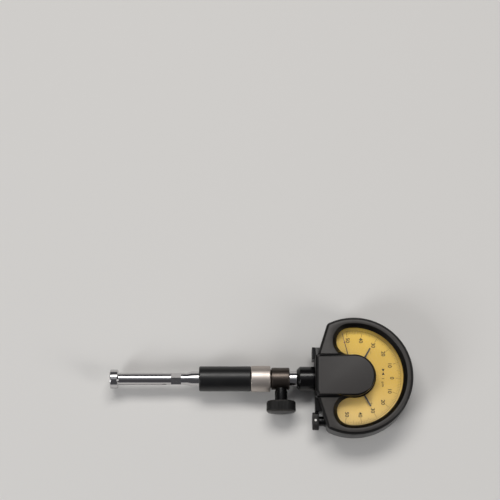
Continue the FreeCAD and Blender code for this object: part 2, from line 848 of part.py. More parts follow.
def toothed_sector(place, teeth, first, last, direction, rim, z0, thickness, hub, arm_width):
    """Gear sector with a tooth at the given direction: toothed rim, tapered arms and a hub."""
    pitch = 2 * math.pi / teeth
    root = gear_module * (teeth / 2 - dedendum)
    points = []
    for i in range(first, last + 1):
        points += tooth_points(teeth, gear_addendum, direction + i * pitch, 3)
    start = direction + (first - 0.5) * pitch
    end = direction + (last + 0.5) * pitch
    points.append((root * math.cos(end), root * math.sin(end)))
    inner = root - rim
    steps = max(3, (last - first) // 2)
    for i in range(steps + 1):
        angle = end + (start - end) * i / steps
        points.append((inner * math.cos(angle), inner * math.sin(angle)))
    points.append((root * math.cos(start), root * math.sin(start)))
    body = slab(polygon_face(points), z0, z0 + thickness)
    middle = (start + end) / 2
    spread = (end - start) / 2 - arm_width / 2 / inner
    arms = []
    for side in (-1, 1):
        angle = middle + side * spread
        tip = Vector(math.cos(angle), math.sin(angle), 0) * (inner + rim / 2)
        aside = Vector(-math.sin(angle), math.cos(angle), 0) * (arm_width / 2)
        foot = Vector(-math.sin(middle), math.cos(middle), 0) * (side * hub * arm_foot_spread)
        wide = aside * arm_foot_taper
        corners = [foot + wide, tip + aside, tip - aside, foot - wide]
        arms.append(slab(Part.Face(Part.makePolygon(corners + [corners[0]])), z0, z0 + thickness))
    body = body.fuse(arms + [post(hub, 0, 0, z0, z0 + thickness)])
    body = body.removeSplitter()
    return body.translated(place)


def direction_between(a, b):
    return math.atan2(b.y - a.y, b.x - a.x)


# Lever, wheels and arbors

def sector_lever():
    side = (sector_teeth_cut - 1) // 2
    direction = direction_between(lever_axis, first_pinion_axis())
    body = toothed_sector(lever_axis, sector_teeth, -side, side, direction, lever_rim, lever_z,
                          lever_thickness, lever_hub_radius, lever_arm_width)
    finger = Part.makeBox(2 * lever_eye_radius, lever_arm, lever_thickness,
                          Vector(lever_axis.x - lever_eye_radius, lever_axis.y, lever_z))
    eye = post(lever_eye_radius, lever_axis.x, 0, lever_z, lever_z + lever_thickness)
    body = body.fuse([finger, eye]).removeSplitter()
    holes = [post(arbor_radius + fixed_gap, lever_axis.x, lever_axis.y, 0, through)]
    holes.append(post(lever_pin_radius + fixed_gap, lever_axis.x, 0, 0, through))
    return body.cut(holes)


def lever_pin():
    return post(lever_pin_radius, lever_axis.x, 0, lever_z, upper_plate_z - end_shake)


def arbor(place, top_radius, top_z):
    """Plain arbor between the plates with a pivot at each end."""
    low = lower_plate_top_z + end_shake
    high = upper_plate_z - end_shake
    rim = [(lower_plate_z + end_shake, 0), (lower_plate_z + end_shake, pivot_radius), (low, pivot_radius),
           (low, arbor_radius), (high, arbor_radius), (high, top_radius), (top_z, top_radius), (top_z, 0)]
    return turned(rim, place, UP, ALONG)


def lever_arbor():
    return arbor(lever_axis, pivot_radius, ledge_z - end_shake)


def first_pinion():
    place = first_pinion_axis()
    leaves = full_pinion(place, first_pinion_z, direction_between(place, lever_axis))
    return arbor(place, pivot_radius, ledge_z - end_shake).fuse(leaves).removeSplitter()


def segment_wheel():
    place = first_pinion_axis()
    direction = direction_between(place, Vector(0, 0, 0))
    body = toothed_sector(place, segment_teeth, -segment_teeth_after, segment_teeth_before, direction,
                          segment_rim, segment_z, segment_thickness, lever_hub_radius, segment_arm_width)
    return body.cut(post(arbor_radius + fixed_gap, place.x, place.y, 0, through))


def pointer_arbor():
    place = Vector(0, 0, 0)
    leaves = full_pinion(place, second_pinion_z, direction_between(place, first_pinion_axis()))
    staff_top = pointer_hub_z + pointer_hub_height
    return arbor(place, pointer_staff_radius, staff_top).fuse(leaves).removeSplitter()


# Hairspring

def hairspring_collet():
    return bush(arbor_radius + fixed_gap, collet_radius, 0, 0, hairspring_z - collet_rim,
                hairspring_z + hairspring_height + collet_rim)


def hairspring_stud():
    top = hairspring_z + hairspring_height + stud_rim
    return post(stud_radius - fixed_gap, stud_place_radius, 0, lower_plate_z, top)


def hairspring():
    """Flat spiral strip from the collet to the stud."""
    start = collet_radius + touch_gap
    end = stud_place_radius - stud_radius - touch_gap - hairspring_strip
    count = hairspring_turns * hairspring_steps
    inner = []
    outer = []
    for i in range(count + 1):
        angle = 2 * math.pi * i / hairspring_steps
        out = Vector(math.cos(angle), math.sin(angle), 0)
        radius = start + (end - start) * i / count
        inner.append(out * radius)
        outer.append(out * (radius + hairspring_strip))
    strip = inner + outer[::-1]
    face = Part.Face(Part.makePolygon(strip + [strip[0]]))
    return slab(face, hairspring_z, hairspring_z + hairspring_height)


# Dial, markers and pointer

def dial_plate():
    face = case_outline(case_wall + ledge_width + dial_side_gap)
    body = slab(face, dial_bottom_z, dial_top_z)
    holes = [post(dial_hole_radius, 0, 0, 0, through)]
    holes += [post(dial_screw_radius + running_gap, x, y, 0, through) for x, y in dial_post_places]
    return body.cut(holes)


def dial_posts():
    posts = []
    for x, y in dial_post_places:
        posts.append(bush(dial_screw_radius + fixed_gap, dial_post_radius, x, y, ledge_z, dial_bottom_z))
    return Part.makeCompound(posts)


def dial_screws():
    screws = []
    for x, y in dial_post_places:
        head = post(dial_screw_head_radius, x, y, dial_top_z, dial_top_z + dial_screw_head_height)
        shank = post(dial_screw_radius, x, y, ledge_z + dial_screw_end_gap, dial_top_z)
        screws.append(head.fuse(shank))
    return Part.makeCompound(screws)


def marker_hub():
    flange_z = dial_top_z + hub_flange_height
    rim = [(dial_top_z, hub_bore_radius), (dial_top_z, hub_flange_radius), (flange_z, hub_flange_radius),
           (flange_z, hub_neck_radius), (marker_hub_top_z, hub_neck_radius),
           (marker_hub_top_z, hub_bore_radius)]
    return turned(rim, Vector(0, 0, 0), UP, ALONG)


def marker_clip():
    ring = bush(hub_neck_radius + fixed_gap, clip_radius, 0, 0, clip_z, clip_z + clip_thickness)
    mouth = Part.makeBox(clip_radius + past, clip_mouth, clip_thickness + 2 * past,
                         Vector(-clip_radius - past, -clip_mouth / 2, clip_z - past))
    return ring.cut(mouth)


def tolerance_marker(z0, side):
    """Friction ring with a tapered arm that shows beyond the centre cover."""
    z1 = z0 + marker_thickness
    ring = post(marker_ring_radius, 0, 0, z0, z1)
    start = (hub_neck_radius + marker_ring_radius) / 2
    arm = polygon_face([(start, -marker_root_width / 2), (marker_reach, -marker_tip_width / 2),
                        (marker_reach, marker_tip_width / 2), (start, marker_root_width / 2)])
    body = ring.fuse(slab(arm, z0, z1)).cut(post(hub_neck_radius + running_gap, 0, 0, z0 - past, z1 + past))
    return turned_about_z(body, side * marker_angle)


def pointer():
    """Fine blade with a small diamond mark and a counterweight tail."""
    blade = polygon_face([(0, -pointer_root_width / 2), (pointer_length, -pointer_tip_width / 2),
                          (pointer_length, pointer_tip_width / 2), (0, pointer_root_width / 2)])
    mark = polygon_face([(pointer_mark_radius - pointer_mark_size, 0),
                         (pointer_mark_radius, -pointer_mark_size),
                         (pointer_mark_radius + pointer_mark_size, 0),
                         (pointer_mark_radius, pointer_mark_size)])
    tail = polygon_face([(-pointer_tail_length, -pointer_tail_tip_width / 2),
                         (0, -pointer_tail_root_width / 2), (0, pointer_tail_root_width / 2),
                         (-pointer_tail_length, pointer_tail_tip_width / 2)])
    z0 = pointer_blade_z
    z1 = pointer_blade_z + pointer_thickness
    weight = post(pointer_tail_radius, -pointer_tail_length, 0, z0, z1)
    eye = post(pointer_hub_radius + pointer_eye_width, 0, 0, z0, z1)
    body = slab(blade, z0, z1).fuse([slab(mark, z0, z1), slab(tail, z0, z1), weight, eye])
    body = body.removeSplitter().cut(post(pointer_hub_radius + fixed_gap, 0, 0, z0 - past, z1 + past))
    return turned_about_z(body, pointer_rest_angle)


def pointer_hub():
    top = pointer_hub_z + pointer_hub_height
    seat = pointer_hub_radius + pointer_seat_width
    rim = [(pointer_hub_z, pointer_staff_radius + fixed_gap), (pointer_hub_z, seat),
           (pointer_blade_z, seat), (pointer_blade_z, pointer_hub_radius),
           (top, pointer_hub_radius), (top, pointer_staff_radius + fixed_gap)]
    return turned(rim, Vector(0, 0, 0), UP, ALONG)


# Fine adjustment

def adjust_rod(radius, x0, x1):
    return Part.makeCylinder(radius, x1 - x0, Vector(x0, adjust_y, axis_z), ALONG)


def index_pin_place():
    foot_z = axis_z + adjust_knob_radius - index_pin_length
    return Vector(adjust_knob_left_x + adjust_knob_length / 2, adjust_y, foot_z)


def fine_adjust_knob():
    body = knob_blank(adjust_knob_radius, adjust_knob_length, adjust_knob_chamfer, adjust_knob_dome)
    body.rotate(Vector(0, 0, 0), ACROSS, -90)
    body.translate(Vector(adjust_knob_left_x + adjust_knob_length, adjust_y, axis_z))
    right_x = adjust_knob_left_x + adjust_knob_length + past
    holes = [adjust_rod(adjust_thread_radius + fixed_gap, adjust_knob_left_x - past, right_x)]
    pin_bore = index_pin_radius + fixed_gap
    holes.append(Part.makeCylinder(pin_bore, index_pin_length + past, index_pin_place(), UP))
    return body.cut(holes)


def fine_adjust_screw():
    shaft = adjust_rod(adjust_shaft_radius, adjust_knob_left_x + adjust_knob_length, adjust_bush_face_x)
    thread = adjust_rod(adjust_thread_radius, adjust_knob_left_x + adjust_screw_set_in, adjust_thread_end_x)
    return shaft.fuse(thread).removeSplitter()


def fine_adjust_bush():
    left = adjust_bush_face_x + touch_gap
    right = left + adjust_bush_length
    bore = adjust_rod(adjust_thread_radius + running_gap, left - past, right + past)
    return adjust_rod(adjust_bush_radius, left, right).cut(bore)


def index_pin():
    return Part.makeCylinder(index_pin_radius, index_pin_length - index_pin_sunk, index_pin_place(), UP)


# Holder: clamp head, ring, grip and the rod inside

def clamp_head():
    body = spindle([(clamp_left_x, 0), (clamp_left_x, clamp_radius - clamp_edge),
                    (clamp_left_x + clamp_edge, clamp_radius), (clamp_right_x - clamp_edge, clamp_radius),
                    (clamp_right_x, clamp_radius - clamp_edge), (clamp_right_x, 0)])
    spigot = spindle_rod(spigot_radius, spigot_left_x, clamp_left_x + past)
    neck = Part.makeCylinder(neck_radius, neck_reach, Vector(clamp_screw_x, 0, axis_z), -ACROSS)
    body = body.fuse([spigot, neck]).removeSplitter()
    bores = [spindle_rod(stem_radius + touch_gap, stem_end_x - stem_stop_gap, clamp_right_x + past)]
    bores.append(spindle_rod(rod_bore_radius, spigot_left_x - past, stem_end_x))
    bores.append(Part.makeCylinder(clamp_screw_radius + running_gap, neck_reach + past,
                                   Vector(clamp_screw_x, 0, axis_z), -ACROSS))
    return body.cut(bores)


def spacer_ring():
    bore = spigot_radius + fixed_gap
    return spindle([(ring_left_x, bore), (ring_left_x, ring_radius - ring_edge),
                    (ring_left_x + ring_edge, ring_radius),
                    (ring_right_x - ring_edge, ring_radius), (ring_right_x, ring_radius - ring_edge),
                    (ring_right_x, bore)])


def grip_sleeve():
    bore = tube_radius + fixed_gap
    return spindle([(grip_left_x, bore), (grip_left_x, grip_radius - grip_edge),
                    (grip_left_x + grip_edge, grip_radius),
                    (ring_left_x - grip_edge, grip_radius), (ring_left_x, grip_radius - grip_edge),
                    (ring_left_x, bore)])


def holder_tube():
    body = spindle_rod(tube_radius, grip_left_x, ring_left_x)
    bores = [spindle_rod(spigot_radius + fixed_gap, spigot_left_x, ring_left_x + past)]
    bores.append(spindle_rod(chamber_radius, rod_bush_right_x, spigot_left_x + past))
    bores.append(spindle_rod(rod_bore_radius, rod_left_x - past, rod_bush_right_x + past))
    bores.append(spindle_rod(head_shank_radius + fixed_gap, grip_left_x - past, rod_left_x))
    return body.cut(bores)


def rod_bush():
    left = rod_left_x + rod_bush_set_in
    return spindle_tube(rod_radius + running_gap, rod_bore_radius - fixed_gap, left, rod_bush_right_x)


def push_rod():
    right = rod_flange_x + rod_flange_thickness
    return spindle([(rod_left_x, 0), (rod_left_x, rod_radius), (rod_flange_x, rod_radius),
                    (rod_flange_x, rod_flange_radius), (right, rod_flange_radius), (right, rod_radius),
                    (rod_right_x, rod_radius), (rod_right_x, 0)])


def push_rod_spring():
    mean = (rod_radius + chamber_radius) / 2
    return coil_spring(mean, rod_flange_x + rod_flange_thickness + spring_end_gap, spigot_left_x - touch_gap,
                       rod_spring_turns)


# Clamp screw

def pressure_piece():
    start = Vector(clamp_screw_x, -stem_radius - touch_gap, axis_z)
    return Part.makeCylinder(clamp_screw_radius, pressure_piece_length, start, -ACROSS)


def clamp_screw():
    start_y = -stem_radius - touch_gap - pressure_piece_length - touch_gap
    length = knob_face_y - start_y
    start = Vector(clamp_screw_x, start_y, axis_z)
    return Part.makeCylinder(clamp_screw_radius, -length + clamp_screw_grip, start, -ACROSS)


def clamp_knob():
    body = knob_blank(clamp_knob_radius, clamp_knob_length, clamp_knob_chamfer, clamp_knob_dome)
    body.rotate(Vector(0, 0, 0), ALONG, 90)
    body.translate(Vector(clamp_screw_x, knob_face_y, axis_z))
    depth = clamp_screw_grip + clamp_screw_room
    hole = Part.makeCylinder(clamp_screw_radius + fixed_gap, depth + past,
                             Vector(clamp_screw_x, knob_face_y + past, axis_z), -ACROSS)
    return body.cut(hole)


# Measuring head

def measuring_head():
    """Split head: two sprung halves whose barrel spreads as the needle's cone rises between them."""
    rim = [(tip_x, 0), (tip_x, barrel_radius - barrel_round)]
    for i in range(1, 4):
        angle = math.radians(90 - 30 * i)
        rim.append((tip_x + barrel_round * (1 - math.sin(angle)),
                    barrel_radius - barrel_round * (1 - math.cos(angle))))
    rim += [(barrel_right_x - barrel_back_edge, barrel_radius),
            (barrel_right_x, barrel_radius - barrel_back_edge), (barrel_right_x, head_tube_radius),
            (cone_left_x, head_tube_radius), (boss_left_x, head_boss_radius), (shank_left_x, head_boss_radius),
            (shank_left_x, head_shank_radius), (shank_right_x, head_shank_radius), (shank_right_x, 0)]
    body = spindle(rim)
    bore = needle_radius + running_gap
    cone_x = tip_x + needle_cone_start
    cone_length = (bore - needle_tip_radius) / math.tan(math.radians(needle_cone_half_angle))
    well = [(shank_right_x + past, 0), (shank_right_x + past, bore), (cone_x, bore),
            (cone_x - cone_length, needle_tip_radius), (cone_x - cone_length, 0)]
    side = barrel_radius + past
    slit_corner = Vector(tip_x - past, -side, axis_z - slit_width / 2)
    slit = Part.makeBox(slit_length + past, 2 * side, slit_width, slit_corner)
    relief = Part.makeCylinder(slit_end_radius, 2 * side, Vector(tip_x + slit_length, -side, axis_z), ACROSS)
    body = body.cut([spindle(well), slit, relief])
    return body.cut(wrench_cut())


def wrench_cut():
    """What is milled away to leave a square with its corners up, down and to both sides."""
    right = cone_left_x - wrench_offset
    left = right - wrench_length
    outer = spindle_rod(head_tube_radius + past, left, right)
    square = Part.makeBox(wrench_length + 2 * past, wrench_flats, wrench_flats,
                          Vector(left - past, -wrench_flats / 2, axis_z - wrench_flats / 2))
    square.rotate(Vector(0, 0, axis_z), ALONG, 45)
    return outer.cut(square)


def measuring_needle():
    cone_x = tip_x + needle_cone_start + touch_gap
    cone_length = (needle_radius - needle_tip_radius) / math.tan(math.radians(needle_cone_half_angle))
    end = rod_left_x - touch_gap
    return spindle([(cone_x - cone_length, 0), (cone_x - cone_length, needle_tip_radius),
                    (cone_x, needle_radius), (end, needle_radius), (end, 0)])


PIECES = {
    "front_housing": front_housing,
    "back_cover": back_cover,
    "back_screws": back_screws,
    "window_glass": window_glass,
    "centre_cover": centre_cover,
    "cover_screws": cover_screws,
    "lift_socket": lift_socket,
    "lift_plug": lift_plug,
    "mounting_stem": mounting_stem,
    "stem_collar": stem_collar,
    "plunger_bushes": plunger_bushes,
    "plunger": plunger,
    "contact_point": contact_point,
    "plunger_spring": plunger_spring,
    "movement_lower_plate": movement_lower_plate,
    "movement_main_plate": movement_main_plate,
    "plate_pillars": plate_pillars,
    "pillar_screws": pillar_screws,
    "plate_screws": plate_screws,
    "jewel_bearings": jewel_bearings,
    "sector_lever": sector_lever,
    "lever_pin": lever_pin,
    "lever_arbor": lever_arbor,
    "first_pinion": first_pinion,
    "segment_wheel": segment_wheel,
    "pointer_arbor": pointer_arbor,
    "hairspring": hairspring,
    "hairspring_collet": hairspring_collet,
    "hairspring_stud": hairspring_stud,
    "dial_plate": dial_plate,
    "dial_posts": dial_posts,
    "dial_screws": dial_screws,
    "marker_hub": marker_hub,
    "marker_clip": marker_clip,
    "marker_minus": lambda: tolerance_marker(marker_minus_z, 1),
    "marker_plus": lambda: tolerance_marker(marker_plus_z, -1),
    "pointer": pointer,
    "pointer_hub": pointer_hub,
    "fine_adjust_knob": fine_adjust_knob,
    "fine_adjust_screw": fine_adjust_screw,
    "fine_adjust_bush": fine_adjust_bush,
    "index_pin": index_pin,
    "clamp_head": clamp_head,
    "spacer_ring": spacer_ring,
    "grip_sleeve": grip_sleeve,
    "holder_tube": holder_tube,
    "rod_bush": rod_bush,
    "push_rod": push_rod,
    "push_rod_spring": push_rod_spring,
    "pressure_piece": pressure_piece,
    "clamp_screw": clamp_screw,
    "clamp_knob": clamp_knob,
    "measuring_head": measuring_head,
    "measuring_needle": measuring_needle,
}

os.makedirs("parts", exist_ok=True)
for node, make in PIECES.items():
    shape = make()
    print(node, len(shape.Solids), round(shape.Volume, 2), shape.isValid())
    shape.exportStep(os.path.join("parts", node + ".step"))
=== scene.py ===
import bmesh
import bpy
import numpy as np
from mathutils import Matrix, Vector


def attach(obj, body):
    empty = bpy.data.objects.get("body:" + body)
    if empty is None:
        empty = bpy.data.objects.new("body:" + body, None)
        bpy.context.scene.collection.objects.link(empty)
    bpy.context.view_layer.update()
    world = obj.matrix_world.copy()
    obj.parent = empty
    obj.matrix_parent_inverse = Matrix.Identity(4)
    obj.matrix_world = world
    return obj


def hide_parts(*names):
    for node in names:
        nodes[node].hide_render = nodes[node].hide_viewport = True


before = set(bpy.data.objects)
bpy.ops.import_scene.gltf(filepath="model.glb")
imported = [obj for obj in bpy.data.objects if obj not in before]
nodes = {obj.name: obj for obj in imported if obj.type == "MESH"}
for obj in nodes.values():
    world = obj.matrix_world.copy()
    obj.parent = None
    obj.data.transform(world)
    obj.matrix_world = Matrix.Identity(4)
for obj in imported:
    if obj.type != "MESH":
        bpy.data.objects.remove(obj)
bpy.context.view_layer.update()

# The gauge lies on its back on a plain pale floor, under a wide soft lamp behind it and weaker ones from both
# sides. The sky is bright in a patch overhead, which the flat faces mirror, and dark round it, so that
# polished metal shows a dark band beside its highlight. It is pale again at the horizon.
view = bpy.context.scene.view_settings
view.view_transform = "Standard"

eye = bpy.data.objects.new("camera", bpy.data.cameras.new("camera"))
eye.data.lens = 143.4
eye.data.sensor_width = 36.0
eye.data.clip_start = 0.01
lean_cos = 0.9748
lean_sin = 0.2233
eye.matrix_world = Matrix(((1, 0, 0, -0.0553), (0, lean_cos, -lean_sin, -0.1708),
                           (0, lean_sin, lean_cos, 1.0644), (0, 0, 0, 1)))
bpy.context.scene.collection.objects.link(eye)
bpy.context.scene.camera = eye


def softbox(name, place, target, width, depth, watts, colour):
    """Rectangular lamp at a place, turned so that its -Z axis points at the target."""
    lamp = bpy.data.lights.new(name, "AREA")
    lamp.shape = "RECTANGLE"
    lamp.size = width
    lamp.size_y = depth
    lamp.energy = watts
    lamp.color = colour
    holder = bpy.data.objects.new(name, lamp)
    holder.location = place
    holder.rotation_euler = (Vector(target) - Vector(place)).to_track_quat("-Z", "Y").to_euler()
    bpy.context.scene.collection.objects.link(holder)


gauge_middle = (-0.05, 0.0, 0.0)
softbox("lamp_above", place=(-0.12, 0.54, 1.0), target=gauge_middle, width=0.80, depth=0.36, watts=6.8,
        colour=(1.0, 0.98, 0.95))
softbox("lamp_left", place=(-0.78, -0.52, 0.62), target=gauge_middle, width=0.35, depth=0.50, watts=4.0,
        colour=(0.98, 0.99, 1.0))
softbox("lamp_right", place=(0.74, -0.38, 0.56), target=(0.0, 0.0, 0.0), width=0.30, depth=0.60, watts=2.8,
        colour=(1.0, 0.98, 0.96))


def feed(node, inputs):
    """Gives each named or numbered input of a node its value; a socket is linked instead."""
    for name, value in inputs.items():
        if isinstance(value, bpy.types.NodeSocket):
            node.id_data.links.new(value, node.inputs[name])
        else:
            node.inputs[name].default_value = value


def add_node(tree, kind, inputs=None, **settings):
    """New shader node of a kind, first with its settings and then with its inputs."""
    node = tree.nodes.new("ShaderNode" + kind)
    for name, value in settings.items():
        setattr(node, name, value)
    feed(node, inputs or {})
    return node


def colour_mix(tree, share, first, second, kind="MIX"):
    """Mixed colour: first (1 - share) + second share. Each of the three is a socket or a plain value."""
    node = add_node(tree, "Mix", {"Factor": share, "A": first, "B": second}, data_type="RGBA",
                    blend_type=kind)
    return node.outputs["Result"]


def share_between(tree, value, zero_at, one_at, kind="LINEAR"):
    """Share of the way between two values, kept from 0 to 1: (value - zero_at) / (one_at - zero_at)."""
    node = add_node(tree, "MapRange", {"Value": value, "From Min": zero_at, "From Max": one_at},
                    interpolation_type=kind)
    return node.outputs["Result"]


sky = bpy.data.worlds.new("studio")
bpy.context.scene.world = sky
sky.use_nodes = True
sky_tree = sky.node_tree
sky_tree.nodes.clear()
sky_way = add_node(sky_tree, "TexCoord").outputs["Generated"]
sky_height = add_node(sky_tree, "SeparateXYZ", {"Vector": sky_way}).outputs["Z"]
sky_rim = share_between(sky_tree, sky_height, 0.16, 0.03, "SMOOTHSTEP")
sky_low = colour_mix(sky_tree, sky_rim, (0.085, 0.085, 0.09, 1), (0.52, 0.52, 0.51, 1))
patch_way = (0.0, 0.26, 0.9656)
sky_lean = add_node(sky_tree, "VectorMath", {0: sky_way, 1: patch_way}, operation="DOT_PRODUCT")
sky_patch = share_between(sky_tree, sky_lean.outputs["Value"], 0.82, 0.98, "SMOOTHSTEP")
sky_shade = colour_mix(sky_tree, sky_patch, sky_low, (0.46, 0.47, 0.49, 1))
sky_light = add_node(sky_tree, "Background", {"Color": sky_shade}).outputs[0]
add_node(sky_tree, "OutputWorld", {"Surface": sky_light})


def new_material(name):
    """Material, its node tree, its main shader, and the socket that gives a point's place on the piece."""
    material = bpy.data.materials.new(name)
    material.use_nodes = True
    tree = material.node_tree
    place = add_node(tree, "TexCoord").outputs["Object"]
    return material, tree, tree.nodes["Principled BSDF"], place


floor_reach = 12.0
floor_z = -0.0003
floor_corners = [(x * floor_reach, y * floor_reach, floor_z) for x, y in ((-1, -1), (1, -1), (1, 1), (-1, 1))]
floor_mesh = bpy.data.meshes.new("floor")
floor_mesh.from_pydata(floor_corners, [], [(0, 1, 2, 3)])
floor = bpy.data.objects.new("floor", floor_mesh)
bpy.context.scene.collection.objects.link(floor)
floor_paint, floor_tree, floor_shader, floor_place = new_material("floor_paper")
floor_fibre = add_node(floor_tree, "TexNoise", {"Vector": floor_place, "Scale": 900.0}).outputs["Fac"]
floor_bump = add_node(floor_tree, "Bump", {"Height": floor_fibre, "Distance": 0.00004, "Strength": 0.3})
feed(floor_shader, {"Base Color": (0.68, 0.67, 0.655, 1), "Roughness": 0.85, "Specular IOR Level": 0.2,
                    "Normal": floor_bump.outputs["Normal"]})
floor_mesh.materials.append(floor_paint)


# Front of the case: one light-metal casting, lacquered dark grey, with a C-shaped window. Its sides, its
# outer rounding, the window's bevel, the recess round the centre cover and the pad are coloured near black:
# painted shade, a shaded copy of the same grey. A pad on its base carries the stem's collar, and the centre
# cover lies in a recess. From here on, shapes are worked out in millimetres, with X along the gauge and the
# pointer's axis at the origin.

def edge_of(profile, closed):
    """How far each point of a profile is an edge: its turn from side to side, over 20 degrees, at most 1."""
    before = profile - np.roll(profile, 1, 0)
    after = np.roll(profile, -1, 0) - profile
    cross = before[:, 0] * after[:, 1] - before[:, 1] * after[:, 0]
    turn = np.arctan2(cross, (before * after).sum(1))
    edge = np.clip(np.abs(turn) / np.radians(20.0), 0.0, 1.0)
    if not closed:
        edge[[0, -1]] = 0.0
    return edge


def softened(profile, radius, steps=4, closed=True):
    """Profile with its corners rounded: q(t) = (1-t)^2 u + 2t(1-t) p + t^2 w, where p is the corner and u, w
    lie the radius before and after it, or 0.45 of the side where that is shorter. Open ends stay."""
    before = np.roll(profile, 1, 0) - profile
    after = np.roll(profile, -1, 0) - profile
    long_before = np.linalg.norm(before, axis=1, keepdims=True)
    long_after = np.linalg.norm(after, axis=1, keepdims=True)
    u = profile + before / long_before * np.minimum(radius, 0.45 * long_before)
    w = profile + after / long_after * np.minimum(radius, 0.45 * long_after)
    t = np.linspace(0.0, 1.0, steps + 1)[None, :, None]
    arcs = (1 - t) ** 2 * u[:, None] + 2 * t * (1 - t) * profile[:, None] + t ** 2 * w[:, None]
    if closed:
        return arcs.reshape(-1, 2)
    return np.concatenate([profile[:1], arcs[1:-1].reshape(-1, 2), profile[-1:]])


def skin(grid, edge, ring=False, slots=0):
    """Closed shell over a grid of points (row, column, xyz) whose columns close round. Face (i, j) joins rows
    i and i + 1 and columns j and j + 1. In a ring the last row joins the first; otherwise each end gets one
    face. The shell is turned right side out by the sign of its volume."""
    rows, columns = grid.shape[:2]
    index = np.arange(rows * columns).reshape(rows, columns)
    low = index if ring else index[:-1]
    high = np.roll(index, -1, 0) if ring else index[1:]
    quads = np.stack([low, np.roll(low, -1, 1), np.roll(high, -1, 1), high], -1).reshape(-1, 4)
    marks = np.broadcast_to(np.asarray(slots), (len(low),)).repeat(columns)
    caps = [] if ring else [index[0][::-1].tolist(), index[-1].tolist()]
    points = grid.reshape(-1, 3)
    a, b, c, d = (points[quads[:, k]] for k in range(4))
    volume = (np.cross(a, b) * c).sum() + (np.cross(a, c) * d).sum()
    for cap in caps:
        fan = points[cap]
        volume += (np.cross(fan[0], fan[1:-1]) * fan[2:]).sum()
    if volume < 0:
        quads = quads[:, ::-1]
        caps = [cap[::-1] for cap in caps]
    faces = quads.tolist() + caps
    marks = marks.tolist() + [int(marks[0]), int(marks[-1])][:len(caps)]
    return points, faces, np.repeat(edge, columns), marks


def make_piece(name, shells, body, materials, *replaced, sharp=38.0):
    """Object of closed shells, in metres, smooth up to the sharp angle, that rides on a body."""
    points, faces, edges, marks, start = [], [], [], [], 0
    for shell_points, shell_faces, shell_edge, shell_marks in shells:
        points.append(shell_points)
        faces += [[start + k for k in face] for face in shell_faces]
        edges.append(shell_edge)
        marks += shell_marks
        start += len(shell_points)
    mesh = bpy.data.meshes.new(name)
    mesh.from_pydata(np.concatenate(points) * 0.001, [], faces)
    edge_share = mesh.attributes.new("edge", "FLOAT", "POINT")
    edge_share.data.foreach_set("value", np.concatenate(edges).astype(np.float32))
    mesh.polygons.foreach_set("material_index", np.array(marks, np.int32))
    for material in materials:
        mesh.materials.append(material)
    whole = bmesh.new()
    whole.from_mesh(mesh)
    bmesh.ops.remove_doubles(whole, verts=whole.verts, dist=1e-7)
    bmesh.ops.dissolve_degenerate(whole, edges=whole.edges, dist=1e-8)
    whole.to_mesh(mesh)
    whole.free()
    mesh.polygons.foreach_set("use_smooth", np.ones(len(mesh.polygons), bool))
    mesh.set_sharp_from_angle(angle=np.radians(sharp))
    thing = bpy.data.objects.new(name, mesh)
    bpy.context.scene.collection.objects.link(thing)
    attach(thing, body)
    if replaced:
        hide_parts(*replaced)
    return thing


def tone(red, green, blue):
    """Linear colour of an 8-bit screen colour."""
    c = np.array([red, green, blue]) / 255.0
    c = np.where(c <= 0.04045, c / 12.92, ((c + 0.055) / 1.055) ** 2.4)
    return (float(c[0]), float(c[1]), float(c[2]), 1.0)


def effect(name, inputs, outputs):
    """Empty node group with named sockets, of which an input may have a value. Gives the group, the sockets
    of what is put in, and the node that takes what comes out."""
    tree = bpy.data.node_groups.new(name, "ShaderNodeTree")
    for label, kind, *value in inputs:
        socket = tree.interface.new_socket(label, in_out="INPUT", socket_type=kind)
        if value:
            socket.default_value = value[0]
    for label, kind in outputs:
        tree.interface.new_socket(label, in_out="OUTPUT", socket_type=kind)
    return tree, tree.nodes.new("NodeGroupInput").outputs, tree.nodes.new("NodeGroupOutput")


def maths(tree, kind, first, second):
    """Result of a maths node of a kind; each side is a socket or a plain number."""
    return add_node(tree, "Math", {0: first, 1: second}, operation=kind).outputs[0]


# Fine grain, as of lacquer, moulded plastic or blasted metal: small specks lift the surface, and broad smears
# change its gloss and its shade.
texture_outputs = [("Mask", "NodeSocketFloat"), ("Roughness", "NodeSocketFloat"),
                   ("Normal", "NodeSocketVector")]
grain, grain_in, grain_out = effect("fine grain", [
    ("Vector", "NodeSocketVector"), ("Size", "NodeSocketFloat", 3000.0),
    ("Depth", "NodeSocketFloat", 0.00001), ("Roughness", "NodeSocketFloat", 0.4),
    ("Spread", "NodeSocketFloat", 0.1)], texture_outputs)
specks = add_node(grain, "TexNoise", {"Vector": grain_in["Vector"], "Scale": grain_in["Size"], "Detail": 3.0})
smears = add_node(grain, "TexNoise", {"Vector": grain_in["Vector"], "Scale": 120.0,
                                      "Detail": 4.0}).outputs["Fac"]
uneven = maths(grain, "MULTIPLY", maths(grain, "SUBTRACT", smears, 0.5), grain_in["Spread"])
grain_bump = add_node(grain, "Bump", {"Height": specks.outputs["Fac"], "Distance": grain_in["Depth"]})
feed(grain_out, {"Mask": smears, "Roughness": maths(grain, "ADD", grain_in["Roughness"], uneven),
                 "Normal": grain_bump.outputs["Normal"]})

# Rubbed edges: where a shell marks a row as an edge, bright metal or a paler coat shows, broken up by noise,
# as on a tool that is often handled.
rub, rub_in, rub_out = effect("rubbed edges", [
    ("Vector", "NodeSocketVector"), ("Amount", "NodeSocketFloat", 0.4)], [("Mask", "NodeSocketFloat")])
rub_rows = add_node(rub, "Attribute", attribute_name="edge").outputs["Fac"]
rub_noise = add_node(rub, "TexNoise", {"Vector": rub_in["Vector"], "Scale": 420.0,
                                       "Detail": 6.0}).outputs["Fac"]
rub_where = maths(rub, "MULTIPLY", rub_rows, maths(rub, "POWER", rub_noise, 2.0))
feed(rub_out, {"Mask": maths(rub, "MULTIPLY", rub_where, rub_in["Amount"])})


